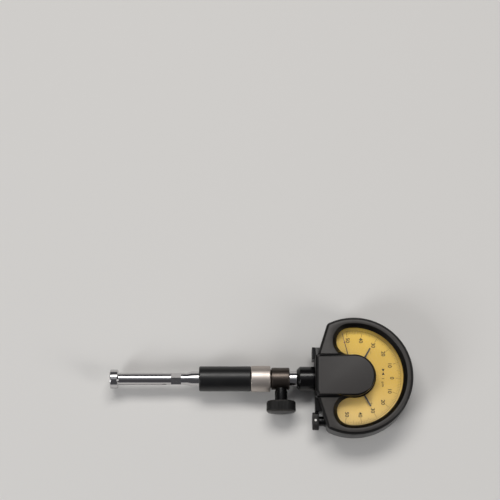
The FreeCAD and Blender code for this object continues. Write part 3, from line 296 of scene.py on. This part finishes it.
def surface(tree, shader, place, texture, colour, other, worn, amount):
    """Feeds a shader: the texture's mask mixes two colours and rubbed edges show the worn one, as far as the
    amount says; gloss and bumps come from the texture."""
    edges = add_node(tree, "Group", {"Vector": place, "Amount": amount}, node_tree=rub).outputs["Mask"]
    shade = colour_mix(tree, texture["Mask"], colour, other)
    feed(shader, {"Base Color": colour_mix(tree, edges, shade, worn), "Roughness": texture["Roughness"],
                  "Normal": texture["Normal"]})


def coat(name, colour, worn, roughness, size, depth, spread=0.1, amount=0.5, gloss=0.5):
    """Material with fine grain, uneven gloss and rubbed edges; the worn colour shows on the edges."""
    material, tree, shader, place = new_material(name)
    feed(shader, {"Specular IOR Level": gloss})
    texture = add_node(tree, "Group", {"Vector": place, "Size": size, "Depth": depth, "Roughness": roughness,
                                       "Spread": spread}, node_tree=grain).outputs
    darker = tuple(0.86 * c for c in colour[:3]) + (1,)
    surface(tree, shader, place, texture, colour, darker, worn, amount)
    return material


lacquer = coat("case_lacquer", tone(49, 46, 44), worn=tone(104, 100, 95), roughness=0.42,
               size=5200.0, depth=0.000012, amount=0.4, gloss=0.35)
# Near black for the case's sides, rounding, bevel, recess and pad and the cover's rounded edge: painted
# shade, a shaded copy of the grey lacquer.
painted_shade_black = coat("case_painted_shade", tone(9, 8, 8), worn=tone(44, 42, 40), roughness=0.30,
                   size=5200.0, depth=0.000006, amount=0.3, gloss=0.3)

flank_foot = np.array([-19.2, 12.0])
flank_run = np.array([4.989, 16.0])
flank_way = flank_run / np.hypot(*flank_run)
flank_in = np.array([flank_way[1], -flank_way[0]])
round_radius = 31.4
base_x = -20.7
base_y = 10.5
back_z = 5.5
recess_y = 11.8
recess_z = 20.3
face_z = 21.5
window_turn = np.radians(96.3)
window_mid = 18.9
window_half = 7.2
window_foot_z = 19.0


def polar(radius, angle):
    """Point (radius cos angle, radius sin angle)."""
    return np.stack([radius * np.cos(angle), radius * np.sin(angle)], -1)


def half_case_line(inset):
    """Upper half of the D, moved in by the inset: the flank from the recess up, the shoulder's arc, the big
    arc. The shoulder's centre lies inset + r from the flank, and radius - inset - r from the origin."""
    r = max(3.0 - inset, 0.5)
    q = flank_foot + flank_in * (inset + r)
    reach = round_radius - inset - r
    along = -q @ flank_way + np.sqrt((q @ flank_way) ** 2 - q @ q + reach ** 2)
    centre = q + flank_way * along
    start = flank_foot + flank_in * inset
    start = start + flank_way * (recess_y - start[1]) / flank_way[1]
    foot = centre - flank_in * r
    lift = np.arctan2(centre[1], centre[0])
    s = np.linspace(0, 1, 12, endpoint=False)[:, None]
    turn = np.linspace(np.arctan2(-flank_in[1], -flank_in[0]), lift, 10, endpoint=False)
    swing = np.concatenate([np.linspace(lift, window_turn, 6, endpoint=False),
                            np.linspace(window_turn, 0, 70)])
    front = polar(round_radius - inset, swing)
    return np.concatenate([start + (foot - start) * s, centre + polar(r, turn), front])


def window_end(half, stop, count):
    """Round end of the window, from the recess's edge to the angle stop: centre + half (cos t, sin t)."""
    centre = polar(window_mid, window_turn)
    start = np.pi + np.arcsin((centre[1] - recess_y) / half)
    return centre + polar(half, np.linspace(start, stop, count, endpoint=False))


def half_window_line(half):
    """Upper half of the window's outer edge: its round end from the recess up, then the arc to the X axis."""
    outer = polar(window_mid + half, np.linspace(window_turn, 0, 70))
    return np.concatenate([window_end(half, window_turn, 28), outer])


def both_halves(half, z):
    """The half line and its mirror image below the X axis, as one line at the height z."""
    line = np.concatenate([half, half[-2::-1] * (1, -1)])
    return np.column_stack([line, np.full(len(line), z)])


case_rows = [both_halves(half_case_line(inset), z) for inset, z in
             ((0, back_z), (0, 12.0), (0, 19.95), (0.06, 20.22), (0.25, 20.47), (1.0, 21.22), (1.25, 21.42),
              (1.55, face_z))]
case_rows += [both_halves(half_window_line(half), z) for half, z in
              ((9.4, face_z), (9.27, 21.46), (9.15, 21.32), (8.4, 20.45), (7.3, 19.2),
               (window_half, window_foot_z))]
case_rows += [both_halves(half_case_line(inset), z) for inset, z in
              ((3.4, window_foot_z), (3.4, 11.9), (2.0, 11.9), (2.0, back_z))]
# One entry for each row: how far it is an edge, and the material of the strip after it (0 lacquer, 1 near
# black, painted shade).
case_edge = np.array([0, 0, .6, 1, 1, 1, 1, .5, .4, .8, .5, 0, 0, 0, 0, 0, 0, 0])
case_slots = [1] * 6 + [0] * 3 + [1] * 9
band = np.swapaxes(np.array(case_rows), 0, 1)
band_points, band_faces, band_edge, band_marks = skin(band, np.zeros(len(band)))
band_edge = np.tile(case_edge, len(band))
band_marks = (case_slots * (len(band) - 1)) + [0, 0]


def raised(line, rows, edge=None, slots=0, stretch=1.0):
    """Shell of an outline carried through (inset, z) rows: each point moves in along its mitre by the inset,
    and along X by the inset times its stretch."""
    way = np.roll(line, -1, 0) - line
    way = way / np.linalg.norm(way, axis=1, keepdims=True)
    inward = np.stack([-way[:, 1], way[:, 0]], 1)
    if (line[:, 0] * np.roll(line[:, 1], -1) - np.roll(line[:, 0], -1) * line[:, 1]).sum() < 0:
        inward = -inward
    mitre = inward + np.roll(inward, 1, 0)
    mitre = mitre * 2 / (mitre ** 2).sum(1, keepdims=True)
    mitre[:, 0] *= stretch
    grid = [np.column_stack([line + mitre * inset, np.full(len(line), z)]) for inset, z in rows]
    if edge is None:
        edge = edge_of(np.array(rows, float), False)
    return skin(np.array(grid), edge, slots=slots)


def box_line(x0, x1, y0, y1, radius):
    """Rectangle with rounded corners, seen from above."""
    corners = np.array([(x0, y0), (x1, y0), (x1, y1), (x0, y1)], float)
    return softened(corners, radius, steps=5)


def rounded_top(z1, top):
    """(inset, z) rows of a quarter round at a side's top: top (1 - cos t) and z1 - top (1 - sin t)."""
    t = np.linspace(0, np.pi / 2, 6)
    return np.column_stack([top * (1 - np.cos(t)), z1 - top + top * np.sin(t)])


def rounded_rows(z0, z1, top, bottom):
    """(inset, z) rows of an upright side with a quarter round at its foot and at its top."""
    t = np.linspace(0, np.pi / 2, 6)
    foot = np.column_stack([bottom * (1 - np.sin(t)), z0 + bottom * (1 - np.cos(t))])
    return np.concatenate([foot, rounded_top(z1, top)])


def half_floor_line(half):
    """Upper half of the recess floor's edge: along the recess, round the window's end, then the inner arc."""
    inner = polar(window_mid - half, np.linspace(window_turn, 0, 40))
    return np.concatenate([[(-19.4, recess_y)], window_end(half, window_turn + np.pi, 16), inner])


recess_floor = np.array([both_halves(half_floor_line(half), z) for half, z in
                         ((window_half, window_foot_z), (8.24, recess_z))])
recess_back = np.array([(-19.35, 11.9), (base_x, base_y), (base_x, -base_y), (-19.35, -11.9), (-18.7, -11.9),
                        (-18.7, 11.9)])
pad_line = box_line(base_x, -16.9, -18.15, 16.1, radius=0.35)
# The recess's floor and back and the pad take the near-black painted shade (slot 1).
housing = make_piece(
    "case_front",
    [(band_points, band_faces, band_edge, band_marks),
     skin(recess_floor, np.zeros(2), slots=1),
     raised(softened(recess_back, 0.5, steps=3), [(0, back_z), (0, 20.1), (0.2, recess_z)], slots=1),
     raised(pad_line, rounded_rows(back_z, 15.5, top=0.4, bottom=0.2), slots=1)],
    "case", [lacquer, painted_shade_black], "front_housing")


# Centre cover: a stamped and lacquered aluminium tongue over the pointer's arbor, held by two screws from
# behind. Its top edge is rounded, most at the base's end, and coloured near black as painted shade, and one
# corner is cut off. It stays bare.
cover_half = 11.0
cover_top_z = 24.0
cover_round = polar(cover_half, np.linspace(-np.pi / 2, np.pi / 2, 60))
cover_base = np.array([(-2.0, cover_half), (base_x, cover_half), (base_x, -8.6), (-19.5, -cover_half),
                       (-2.0, -cover_half)])
cover_line = np.concatenate([cover_round, softened(cover_base, 0.7, steps=6, closed=False)])
cover_rows = np.concatenate([[(0.0, recess_z)], rounded_top(cover_top_z, 1.2)])
cover_stretch = np.where(cover_line[:, 0] < -15.0, 2.2, 1.0)
cover_lacquer = coat("cover_lacquer", tone(50, 47, 46), worn=tone(100, 96, 92), roughness=0.45,
                     size=4600.0, depth=0.000012, amount=0.35, gloss=0.35)
# The rounded edge takes the near-black painted shade; the flat top keeps the lacquer.
cover_slots = [1] * (len(cover_rows) - 2) + [0]
cover_shell = raised(cover_line, cover_rows, slots=cover_slots, stretch=cover_stretch)
cover = make_piece("centre_tongue", [cover_shell], "case", [cover_lacquer, painted_shade_black], "centre_cover")


# Window: flat clear plastic pane, cut to the C shape and cemented under the bevel. Light falls through it
# onto the dial.
pane, pane_tree, pane_shader, pane_place = new_material("window_pane")
pane_ripple = add_node(pane_tree, "TexNoise", {"Vector": pane_place, "Scale": 60.0}).outputs["Fac"]
pane_bump = add_node(pane_tree, "Bump", {"Height": pane_ripple, "Distance": 0.000002})
feed(pane_shader, {"Base Color": (0.98, 0.98, 0.96, 1), "Transmission Weight": 1.0, "Roughness": 0.02,
                   "IOR": 1.35, "Normal": pane_bump.outputs["Normal"]})
pane_shadow = add_node(pane_tree, "LightPath").outputs["Is Shadow Ray"]
pane_clear = add_node(pane_tree, "BsdfTransparent").outputs[0]
pane_mix = add_node(pane_tree, "MixShader", {0: pane_shadow, 1: pane_shader.outputs[0], 2: pane_clear})
feed(pane_tree.nodes["Material Output"], {"Surface": pane_mix.outputs[0]})


def dress(material, *names):
    """Gives CAD nodes a material and smooth shading: facets are welded, edges over 30 degrees stay sharp."""
    for name in names:
        node = nodes[name]
        faces = node.data.polygons
        node.data.materials.clear()
        node.data.materials.append(material)
        faces.foreach_set("material_index", np.zeros(len(faces), np.int32))
        faces.foreach_set("use_smooth", np.ones(len(faces), bool))
        weld = node.modifiers.new("weld", "WELD")
        weld.merge_threshold = 0.000001
        split = node.modifiers.new("edges", "EDGE_SPLIT")
        split.split_angle = np.radians(30.0)


dress(pane, "window_glass")


# Dial: thin aluminium sheet, blanked, blasted to a fine matt grain and anodised gold-yellow. Screws hold it
# on two posts. Its colour runs from a pale yellow at -Y through a darker band near the middle to a deep
# yellow at +Y: this is painted light and shade, lighter on the lower part and darker beside the tongue.
dial_skin, dial_tree, dial_shader, dial_place = new_material("dial_gold")
dial_grain = add_node(dial_tree, "Group", {"Vector": dial_place, "Size": 6500.0, "Depth": 0.000006,
                                           "Roughness": 0.52, "Spread": 0.12}, node_tree=grain).outputs
dial_y = add_node(dial_tree, "SeparateXYZ", {"Vector": dial_place}).outputs["Y"]
# Painted light and shade along Y: pale at -Y, darker across the middle, deep yellow at +Y.
dial_painted_light_ramp = add_node(dial_tree, "ValToRGB", {"Fac": share_between(dial_tree, dial_y, -0.026, 0.026)})
dial_painted_light_ramp.color_ramp.elements[0].color = tone(198, 168, 100)
dial_painted_light_ramp.color_ramp.elements[1].color = tone(193, 159, 52)
dial_painted_light_ramp.color_ramp.elements.new(0.45).color = tone(184, 149, 52)
dial_grain_and_painted_light = colour_mix(dial_tree, dial_grain["Mask"], dial_painted_light_ramp.outputs["Color"], (0.90, 0.89, 0.85, 1),
                         "MULTIPLY")
feed(dial_shader, {"Base Color": dial_grain_and_painted_light, "Specular IOR Level": 0.4, "Roughness": dial_grain["Roughness"],
                   "Normal": dial_grain["Normal"]})
dress(dial_skin, "dial_plate")


# Print on the dial: dark ink, with a division every two degrees, plain numbers from 0 to 50 on both sides,
# signs and the value of a division. It is printed on the sheet, and turned a little, as the real dial is.
ink_z = 14.5
ink_height = 0.02
ink_top_z = ink_z + ink_height
zero_turn = np.radians(-1.1)
division = np.radians(2.0)


def bars(start, end, width, z0, z1):
    """Closed thin boxes, each from start to end, half the width to both sides, and from z0 up to z1."""
    way = end - start
    way = way / np.linalg.norm(way, axis=1, keepdims=True)
    aside = np.stack([-way[:, 1], way[:, 0]], 1) * np.reshape(width, (-1, 1)) / 2
    ring = np.stack([start - aside, end - aside, end + aside, start + aside], 1)
    low = np.concatenate([ring, np.full(ring.shape[:2] + (1,), z0)], 2)
    high = np.concatenate([ring, np.full(ring.shape[:2] + (1,), z1)], 2)
    points = np.concatenate([low, high], 1).reshape(-1, 3)
    box = np.array([(3, 2, 1, 0), (4, 5, 6, 7), (0, 1, 5, 4), (1, 2, 6, 5), (2, 3, 7, 6), (3, 0, 4, 7)])
    faces = (box[None] + 8 * np.arange(len(start))[:, None, None]).reshape(-1, 4)
    return points, faces.tolist(), np.zeros(len(points)), [0] * len(faces)


steps = np.arange(-50, 51)
tick_angle = zero_turn + steps * division
tick_start = np.where(steps % 10 == 0, 22.1, np.where(steps % 5 == 0, 23.2, 23.8))
tick_width = np.where(steps % 10 == 0, 0.18, 0.11)
tick_end = np.full(len(steps), 25.15)
ticks = bars(polar(tick_start, tick_angle), polar(tick_end, tick_angle), tick_width, ink_z, ink_top_z)
arc_steps = 160
arc_turn = np.linspace(tick_angle[0], tick_angle[-1], arc_steps)
arc_grid = np.array([np.column_stack([polar(np.full(arc_steps, r), arc_turn), np.full(arc_steps, z)])
                     for r, z in ((25.12, ink_z), (25.24, ink_z), (25.24, ink_top_z), (25.12, ink_top_z))])
scale_arc = skin(np.swapaxes(arc_grid, 0, 1), np.zeros(arc_steps))


def arrow_head(tip_y, foot_y, half_width, x):
    """Small solid triangle along Y."""
    line = np.array([(x, tip_y), (x - half_width, foot_y), (x + half_width, foot_y)])
    return skin(np.array([np.column_stack([line, np.full(3, z)]) for z in (ink_z, ink_top_z)]), np.zeros(2))


sign_start = np.array([(9.2, 14.1), (9.2, -13.3), (8.5, -14.0)])
sign_end = np.array([(9.2, 12.7), (9.2, -14.7), (9.9, -14.0)])
signs = bars(sign_start, sign_end, np.full(3, 0.13), ink_z, ink_top_z)


def lettering(words, size, place, weight, spacing=1.0):
    """Flat type as a closed mesh. Letters stand towards +X and read towards -Y: (x, y) becomes (y, -x)."""
    curve = bpy.data.curves.new("type", "FONT")
    curve.body = words
    curve.size = size
    curve.align_x = "CENTER"
    curve.align_y = "CENTER"
    curve.extrude = ink_height / 2
    curve.offset = weight
    curve.space_character = spacing
    holder = bpy.data.objects.new("type", curve)
    mesh = bpy.data.meshes.new_from_object(holder)
    flat = np.empty(len(mesh.vertices) * 3)
    mesh.vertices.foreach_get("co", flat)
    flat = flat.reshape(-1, 3)
    middle_z = ink_z + ink_height / 2
    points = np.column_stack([flat[:, 1] + place[0], place[1] - flat[:, 0], flat[:, 2] + middle_z])
    faces = [list(face.vertices) for face in mesh.polygons]
    bpy.data.objects.remove(holder)
    bpy.data.curves.remove(curve)
    bpy.data.meshes.remove(mesh)
    return points, faces, np.zeros(len(points)), [0] * len(faces)


number_radius = 20.3
numbers = [lettering(str(abs(value)), 2.8, polar(number_radius, zero_turn + value * division), weight=0.055)
           for value in range(-50, 51, 10)]
unit = lettering("1 \u00b5m", 2.0, (15.5, -2.65), weight=0.035, spacing=1.25)
arrows = [arrow_head(tip_y, foot_y, half_width=0.8, x=15.7) for tip_y, foot_y in ((3.05, 4.6), (2.85, 1.35))]
ink = coat("dial_ink", tone(27, 20, 10), worn=tone(27, 20, 10), roughness=0.6,
           size=6000.0, depth=0.000002, gloss=0.2)
dial_print = make_piece("dial_print", [ticks, scale_arc] + arrows + [signs, unit] + numbers, "case", [ink])


# Pointer and tolerance markers: blackened steel, blanked from thin sheet. The pointer is pressed onto its
# arbor with a hub and carries a dark red mark, whose place is in metres, as a material has it. The markers
# turn stiffly on a hub of their own.
mark_turn = np.radians(104.5)
mark_radius = 0.0192
mark_z = 0.0166
mark_place = (mark_radius * float(np.cos(mark_turn)), mark_radius * float(np.sin(mark_turn)), mark_z)
mark_reach = 0.0007
pointer_coat, pointer_tree, pointer_shader, pointer_place = new_material("pointer_coat")
pointer_grain = add_node(pointer_tree, "Group", {"Vector": pointer_place, "Roughness": 0.5},
                         node_tree=grain).outputs
pointer_far = add_node(pointer_tree, "VectorMath", {0: pointer_place, 1: mark_place}, operation="DISTANCE")
pointer_near = maths(pointer_tree, "LESS_THAN", pointer_far.outputs["Value"], mark_reach)
pointer_colour = colour_mix(pointer_tree, pointer_near, tone(34, 24, 18), tone(84, 26, 16))
feed(pointer_shader, {"Base Color": pointer_colour, "Roughness": pointer_grain["Roughness"],
                      "Normal": pointer_grain["Normal"]})
marker_coat = coat("marker_black", tone(22, 20, 18), worn=tone(60, 56, 50), roughness=0.42,
                   size=3000.0, depth=0.000006)
dress(pointer_coat, "pointer")
dress(marker_coat, "marker_minus", "marker_plus")


# Collar and stem: the collar is turned steel, blackened, and screwed onto the base round the stem, which is
# ground and chromed. Both lie on the spindle line, the gauge's own axis.
axis_z = 10.0


def turned(profile, origin, along, side, columns=120, shape=None, ring=True, slots=0):
    """Turned shell: origin + along a + r (side cos t + across sin t) for a profile's (a, r) and all angles t.
    A closed profile makes a ring; shape(a, r, t) may change the radius, as flutes and flats do."""
    origin, along, side = (np.array(v, float) for v in (origin, along, side))
    across = np.cross(along, side)
    t = np.linspace(0, 2 * np.pi, columns, endpoint=False)[None, :, None]
    a = profile[:, 0][:, None, None]
    r = profile[:, 1][:, None, None] * np.ones_like(t)
    if shape is not None:
        r = shape(a, r, t)
    grid = origin + along * a + r * (side * np.cos(t) + across * np.sin(t))
    return skin(grid, edge_of(profile, ring), ring, slots)


def on_spindle(profile, **more):
    """Turned piece on the gauge's own axis, which lies along X."""
    return turned(np.array(profile, float), (0, 0, axis_z), (1, 0, 0), (0, 0, 1), **more)


# Turning marks: fine lines round the axis of a turned piece, as the tool leaves them, and slow changes of
# gloss from handling.
marks, marks_in, marks_out = effect("turning marks", [
    ("Vector", "NodeSocketVector"), ("Along", "NodeSocketVector", (1.0, 0.0, 0.0)),
    ("Pitch", "NodeSocketFloat", 9000.0), ("Depth", "NodeSocketFloat", 0.000002),
    ("Roughness", "NodeSocketFloat", 0.25), ("Spread", "NodeSocketFloat", 0.1)], texture_outputs)
marks_dot = add_node(marks, "VectorMath", {0: marks_in["Vector"], 1: marks_in["Along"]},
                     operation="DOT_PRODUCT")
marks_way = maths(marks, "MULTIPLY", marks_dot.outputs["Value"], marks_in["Pitch"])
marks_line = add_node(marks, "TexNoise", {"W": marks_way, "Scale": 1.0, "Detail": 4.0},
                      noise_dimensions="1D").outputs["Fac"]
marks_smear = add_node(marks, "TexNoise", {"Vector": marks_in["Vector"], "Scale": 150.0, "Detail": 5.0})
marks_both = maths(marks, "ADD", maths(marks, "MULTIPLY", marks_line, 0.6),
                      maths(marks, "MULTIPLY", marks_smear.outputs["Fac"], 0.4))
marks_change = maths(marks, "MULTIPLY", maths(marks, "SUBTRACT", marks_both, 0.5), marks_in["Spread"])
marks_bump = add_node(marks, "Bump", {"Height": marks_line, "Distance": marks_in["Depth"]})
feed(marks_out, {"Mask": marks_both, "Roughness": maths(marks, "ADD", marks_in["Roughness"], marks_change),
                 "Normal": marks_bump.outputs["Normal"]})


def metal(name, colour, dull, roughness, along=(1, 0, 0), pitch=9000.0, depth=0.000002, spread=0.1, worn=None,
          amount=0.4):
    """Bare or plated metal with turning marks: dull is their colour, worn the colour of rubbed edges."""
    material, tree, shader, place = new_material(name)
    feed(shader, {"Metallic": 1.0})
    texture = add_node(tree, "Group", {"Vector": place, "Along": along, "Pitch": pitch, "Depth": depth,
                                       "Roughness": roughness, "Spread": spread}, node_tree=marks).outputs
    surface(tree, shader, place, texture, colour, dull, worn or colour, amount)
    return material


chrome = metal("bright_chrome", tone(214, 212, 212), dull=tone(190, 188, 190), roughness=0.09,
               depth=0.0000003, spread=0.05)
collar_black = coat("collar_black", tone(5, 5, 6), worn=tone(52, 50, 48), roughness=0.21,
                    size=4000.0, depth=0.000003, amount=0.35, gloss=0.33)
collar_profile = [(-30.4, 4.02), (-30.4, 4.7), (-28.6, 6.5), (-20.72, 6.5), (-20.72, 4.02)]
collar_shell = on_spindle(softened(np.array(collar_profile), 0.22))
collar = make_piece("base_collar", [collar_shell], "case", [collar_black], "stem_collar")
stem_profile = [(-50.0, 2.6), (-50.0, 4.0), (-18.75, 4.0), (-18.75, 5.2), (-17.5, 5.2), (-17.5, 2.6)]
stem_shell = on_spindle(softened(np.array(stem_profile), 0.15))
stem = make_piece("stem", [stem_shell], "case", [chrome], "mounting_stem")


# Clamp head: turned steel with a satin dark finish. It is slipped over the stem, where the screw in its
# blackened neck clamps it. Its spigot carries the ring and goes into the grip's tube.
clamp_x = -38.7
clamp_satin = metal("clamp_satin", tone(88, 80, 75), dull=tone(66, 60, 56), roughness=0.36,
                    pitch=7000.0, depth=0.000003, spread=0.14, worn=tone(170, 162, 154))
clamp_profile = [(-60.7, 2.2), (-60.7, 5.0), (-43.9, 5.0), (-43.9, 5.55), (-43.5, 5.95), (-34.6, 5.95),
                 (-34.2, 5.55), (-34.2, 4.02), (-50.5, 4.02), (-50.5, 2.2)]
neck_profile = [(4.6, 1.53), (4.6, 3.0), (6.3, 3.0), (6.6, 3.35), (11.8, 3.35), (12.0, 3.15), (12.0, 1.53)]
clamp_shell = on_spindle(softened(np.array(clamp_profile), 0.12))
neck_shell = turned(softened(np.array(neck_profile), 0.1), (clamp_x, 0.0, axis_z), (0, -1, 0), (1, 0, 0),
                    columns=72, slots=1)
clamp_head = make_piece("stem_clamp", [clamp_shell, neck_shell], "holder", [clamp_satin, collar_black],
                        "clamp_head")


# Silver ring between the clamp head and the grip: turned steel, satin-brushed round its axis and plated. It
# sits on the clamp head's spigot and stays bare.
ring_brushed = metal("ring_brushed", tone(206, 197, 190), dull=tone(172, 163, 156), roughness=0.44,
                     pitch=12000.0, depth=0.0000035, spread=0.18, worn=tone(235, 230, 226))
ring_profile = [(-54.68, 5.01), (-54.68, 6.65), (-54.38, 6.95), (-44.7, 6.95), (-44.4, 6.65), (-44.4, 5.01)]
ring_shell = on_spindle(softened(np.array(ring_profile), 0.08))
ring = make_piece("silver_ring", [ring_shell], "holder", [ring_brushed], "spacer_ring")


# Grip: a sleeve of dense black plastic, which keeps the hand's warmth from the rod. It is pressed onto the
# steel tube.
grip_plastic = coat("grip_plastic", tone(11, 11, 12), worn=tone(50, 49, 48), roughness=0.37,
                    size=3600.0, depth=0.000012, spread=0.14, amount=0.3, gloss=0.42)
grip_profile = [(-82.5, 5.71), (-82.5, 6.25), (-82.05, 6.7), (-55.15, 6.7), (-54.7, 6.25), (-54.7, 5.71)]
grip_shell = on_spindle(softened(np.array(grip_profile), 0.2))
grip = make_piece("grip", [grip_shell], "holder", [grip_plastic], "grip_sleeve")


# Measuring head: one piece of hardened steel, chromed, sawn along its middle from the tip, so that two sprung
# halves carry the measuring barrel. A needle's cone lies between them, and a square further back takes a
# spanner. It screws into the tube inside the grip.
head_radius = 3.2
slit_half = 0.6
slit_end = -101.1
slit_hole = 1.3
cone_start = -126.52
cone_radius = 0.12
cone_slope = 0.5
needle_bore = 1.03


def half_section(x, radius, upper):
    """Closed section of one half at each x: outer arc, the cut's face, the bore's arc, the cut's face again.
    The cut is half the slit and widens as sqrt(hole^2 - (x - end)^2) at the relief hole. The bore narrows
    along its slope towards the tip, round the needle's cone."""
    bore = np.clip(cone_radius + cone_slope * (x - cone_start), cone_radius, needle_bore)
    hole = np.sqrt(np.clip(slit_hole ** 2 - (x - slit_end) ** 2, 0, None))
    cut = np.where(x > slit_end, hole, np.maximum(slit_half, hole))
    x, radius, bore, cut = (v[:, None] for v in (x, radius, bore, cut))
    outer_start = np.arcsin(cut / radius)
    outer = outer_start + (np.pi - 2 * outer_start) * np.linspace(0, 1, 48)[None]
    bore_start = np.arcsin(np.clip(cut / bore, 0, 1))
    inner = bore_start + (np.pi - 2 * bore_start) * np.linspace(1, 0, 16)[None]
    y_out = radius * np.cos(outer_start)
    y_in = bore * np.cos(bore_start)
    share = np.linspace(0, 1, 6)[None, 1:-1]
    flat = np.ones_like(share)
    y = np.concatenate([radius * np.cos(outer), -y_out + (y_out - y_in) * share, bore * np.cos(inner),
                        y_in + (y_out - y_in) * share], 1)
    z = np.concatenate([radius * np.sin(outer), cut * flat, np.maximum(cut, bore * np.sin(inner)),
                        cut * flat], 1)
    return np.stack([x * np.ones_like(y), y, axis_z + upper * z], 2)


barrel_corners = [(-130.1, 3.9), (-130.1, 5.0), (-125.9, 5.0), (-125.9, head_radius), (-125.0, head_radius)]
barrel = softened(np.array(barrel_corners), 0.55, steps=6, closed=False)
barrel_back = np.column_stack([np.linspace(-124.9, -103.0, 12), np.full(12, head_radius)])
relief_turn = np.linspace(np.pi, 0, 24)
relief = np.column_stack([slit_end + slit_hole * 0.999 * np.cos(relief_turn), np.full(24, head_radius)])
prong = np.concatenate([barrel, barrel_back, relief])
prong_edge = edge_of(prong, False)
halves = [skin(half_section(prong[:, 0], prong[:, 1], upper), prong_edge) for upper in (1, -1)]


square_half = 2.3
square_start = -97.45
square_stop = -92.15


def wrench_square(a, r, t):
    """Radius of the square whose corners lie up, down and to both sides, where the spanner goes: its half
    width over the larger of |cos| and |sin| of the angle from a flat's middle."""
    turn = t - np.pi / 4
    flat = square_half / np.maximum(np.abs(np.cos(turn)), np.abs(np.sin(turn)))
    return np.where((a > square_start) & (a < square_stop) & (r > 2.0), np.minimum(r, flat), r)


shank = [(-99.82, needle_bore)]
shank += [(x, head_radius) for x in (-99.82, -97.5, -97.44, -92.16, -92.1, -88.8)]
shank += [(-86.5, 3.9), (-82.5, 3.9), (-82.5, 2.98), (-75.5, 2.98), (-75.5, needle_bore)]
shank_shell = on_spindle(shank, columns=144, shape=wrench_square)
head = make_piece("split_head", halves + [shank_shell], "holder", [chrome], "measuring_head", sharp=32.0)


# Clamp screw's knob: turned aluminium, anodised black, with straight knurling round its rim. It is fixed on
# the end of the clamp screw.

def fluted(count, depth, start, stop):
    """Straight knurl between two places of a rim: the radius goes in by depth (1 - |sin(count t/2)|^0.7)."""
    def shape(a, r, t):
        wave = np.abs(np.sin(count * t / 2)) ** 0.7
        inside = (a > start) & (a < stop) & (r > 0.6 * r.max())
        return np.where(inside, r - depth * (1 - wave), r)
    return shape


knob_black = coat("knob_black", tone(11, 10, 9), worn=tone(70, 65, 60), roughness=0.36,
                  size=3800.0, depth=0.000008, amount=0.7, gloss=0.4)
knob_profile = [(0.0, 6.9), (0.1, 7.3), (0.8, 7.8), (1.0, 7.8), (3.0, 7.8), (5.1, 7.8), (5.3, 7.8),
                (6.1, 7.0), (6.35, 5.2), (6.6, 3.5)]
knob_shell = turned(np.array(knob_profile), (clamp_x, -12.1, axis_z), (0, -1, 0), (1, 0, 0), columns=360,
                    shape=fluted(60, depth=0.16, start=0.3, stop=6.0), ring=False)
clamp_knob = make_piece("knurled_clamp_knob", [knob_shell], "clamp", [knob_black], "clamp_knob")


# Fine adjustment: a small knurled knob with a white plastic dot let into its rim, on a blackened screw that
# enters the case through its bush. The lifting socket on the base and the screws of the back are blackened
# too.
adjust_y = -22.9
adjust_profile = [(0.0, 4.2), (0.12, 4.5), (0.35, 4.68), (0.6, 4.7), (3.1, 4.7), (3.35, 4.62), (3.5, 4.3),
                  (3.7, 2.2)]
adjust_shell = turned(np.array(adjust_profile), (-18.6, adjust_y, axis_z), (-1, 0, 0), (0, 0, 1), columns=320,
                      shape=fluted(64, depth=0.1, start=0.2, stop=3.45), ring=False)
adjust_knob = make_piece("adjusting_knob", [adjust_shell], "fine_adjust", [knob_black], "fine_adjust_knob")
dot_white = coat("dot_white", tone(228, 226, 220), worn=tone(200, 196, 188), roughness=0.35,
                 size=2500.0, depth=0.000004)
dot_profile = [(13.9, 0.0), (13.9, 0.68), (14.6, 0.68), (14.7, 0.6), (14.74, 0.3), (14.75, 0.0)]
dot_line = softened(np.array(dot_profile), 0.04, closed=False)[1:-1]
dot_shell = turned(dot_line, (-20.45, adjust_y, 0.0), (0, 0, 1), (1, 0, 0), columns=36, ring=False)
index_dot = make_piece("index_dot", [dot_shell], "fine_adjust", [dot_white], "index_pin")
dress(collar_black, "fine_adjust_screw", "fine_adjust_bush", "lift_socket", "lift_plug", "back_screws")


# Back of the case: a moulded black plastic cover with a stepped rim, which fits into the front with a spigot.
# Four screws in sunk holes hold it.
back_plastic = coat("back_plastic", tone(24, 24, 24), worn=tone(60, 59, 58), roughness=0.5,
                    size=2600.0, depth=0.00002, amount=0.3)
dress(back_plastic, "back_cover")


# Inside: plates, posts and wheels of stamped and turned brass, arbors, screws, rods and springs of bright
# steel, and red jewels that are pressed into the plates.
brass = metal("movement_brass", tone(214, 178, 104), dull=tone(186, 150, 82), roughness=0.28,
              along=(0.7, 0.7, 0), pitch=5000.0)
steel = metal("bright_steel", tone(196, 195, 194), dull=tone(160, 160, 161), roughness=0.22)
jewel = coat("jewel_red", tone(150, 22, 34), worn=tone(170, 40, 50), roughness=0.12,
             size=2000.0, depth=0.000001)
dress(brass, "movement_lower_plate", "movement_main_plate", "plate_pillars", "sector_lever", "segment_wheel",
      "hairspring_collet", "hairspring_stud", "dial_posts", "marker_hub", "plunger_bushes", "rod_bush",
      "pressure_piece")
dress(steel, "pillar_screws", "plate_screws", "cover_screws", "lever_pin", "lever_arbor", "first_pinion",
      "pointer_arbor", "hairspring", "dial_screws", "marker_clip", "plunger", "contact_point",
      "plunger_spring", "holder_tube", "push_rod", "push_rod_spring", "clamp_screw", "measuring_needle")
dress(marker_coat, "pointer_hub")
dress(jewel, "jewel_bearings")
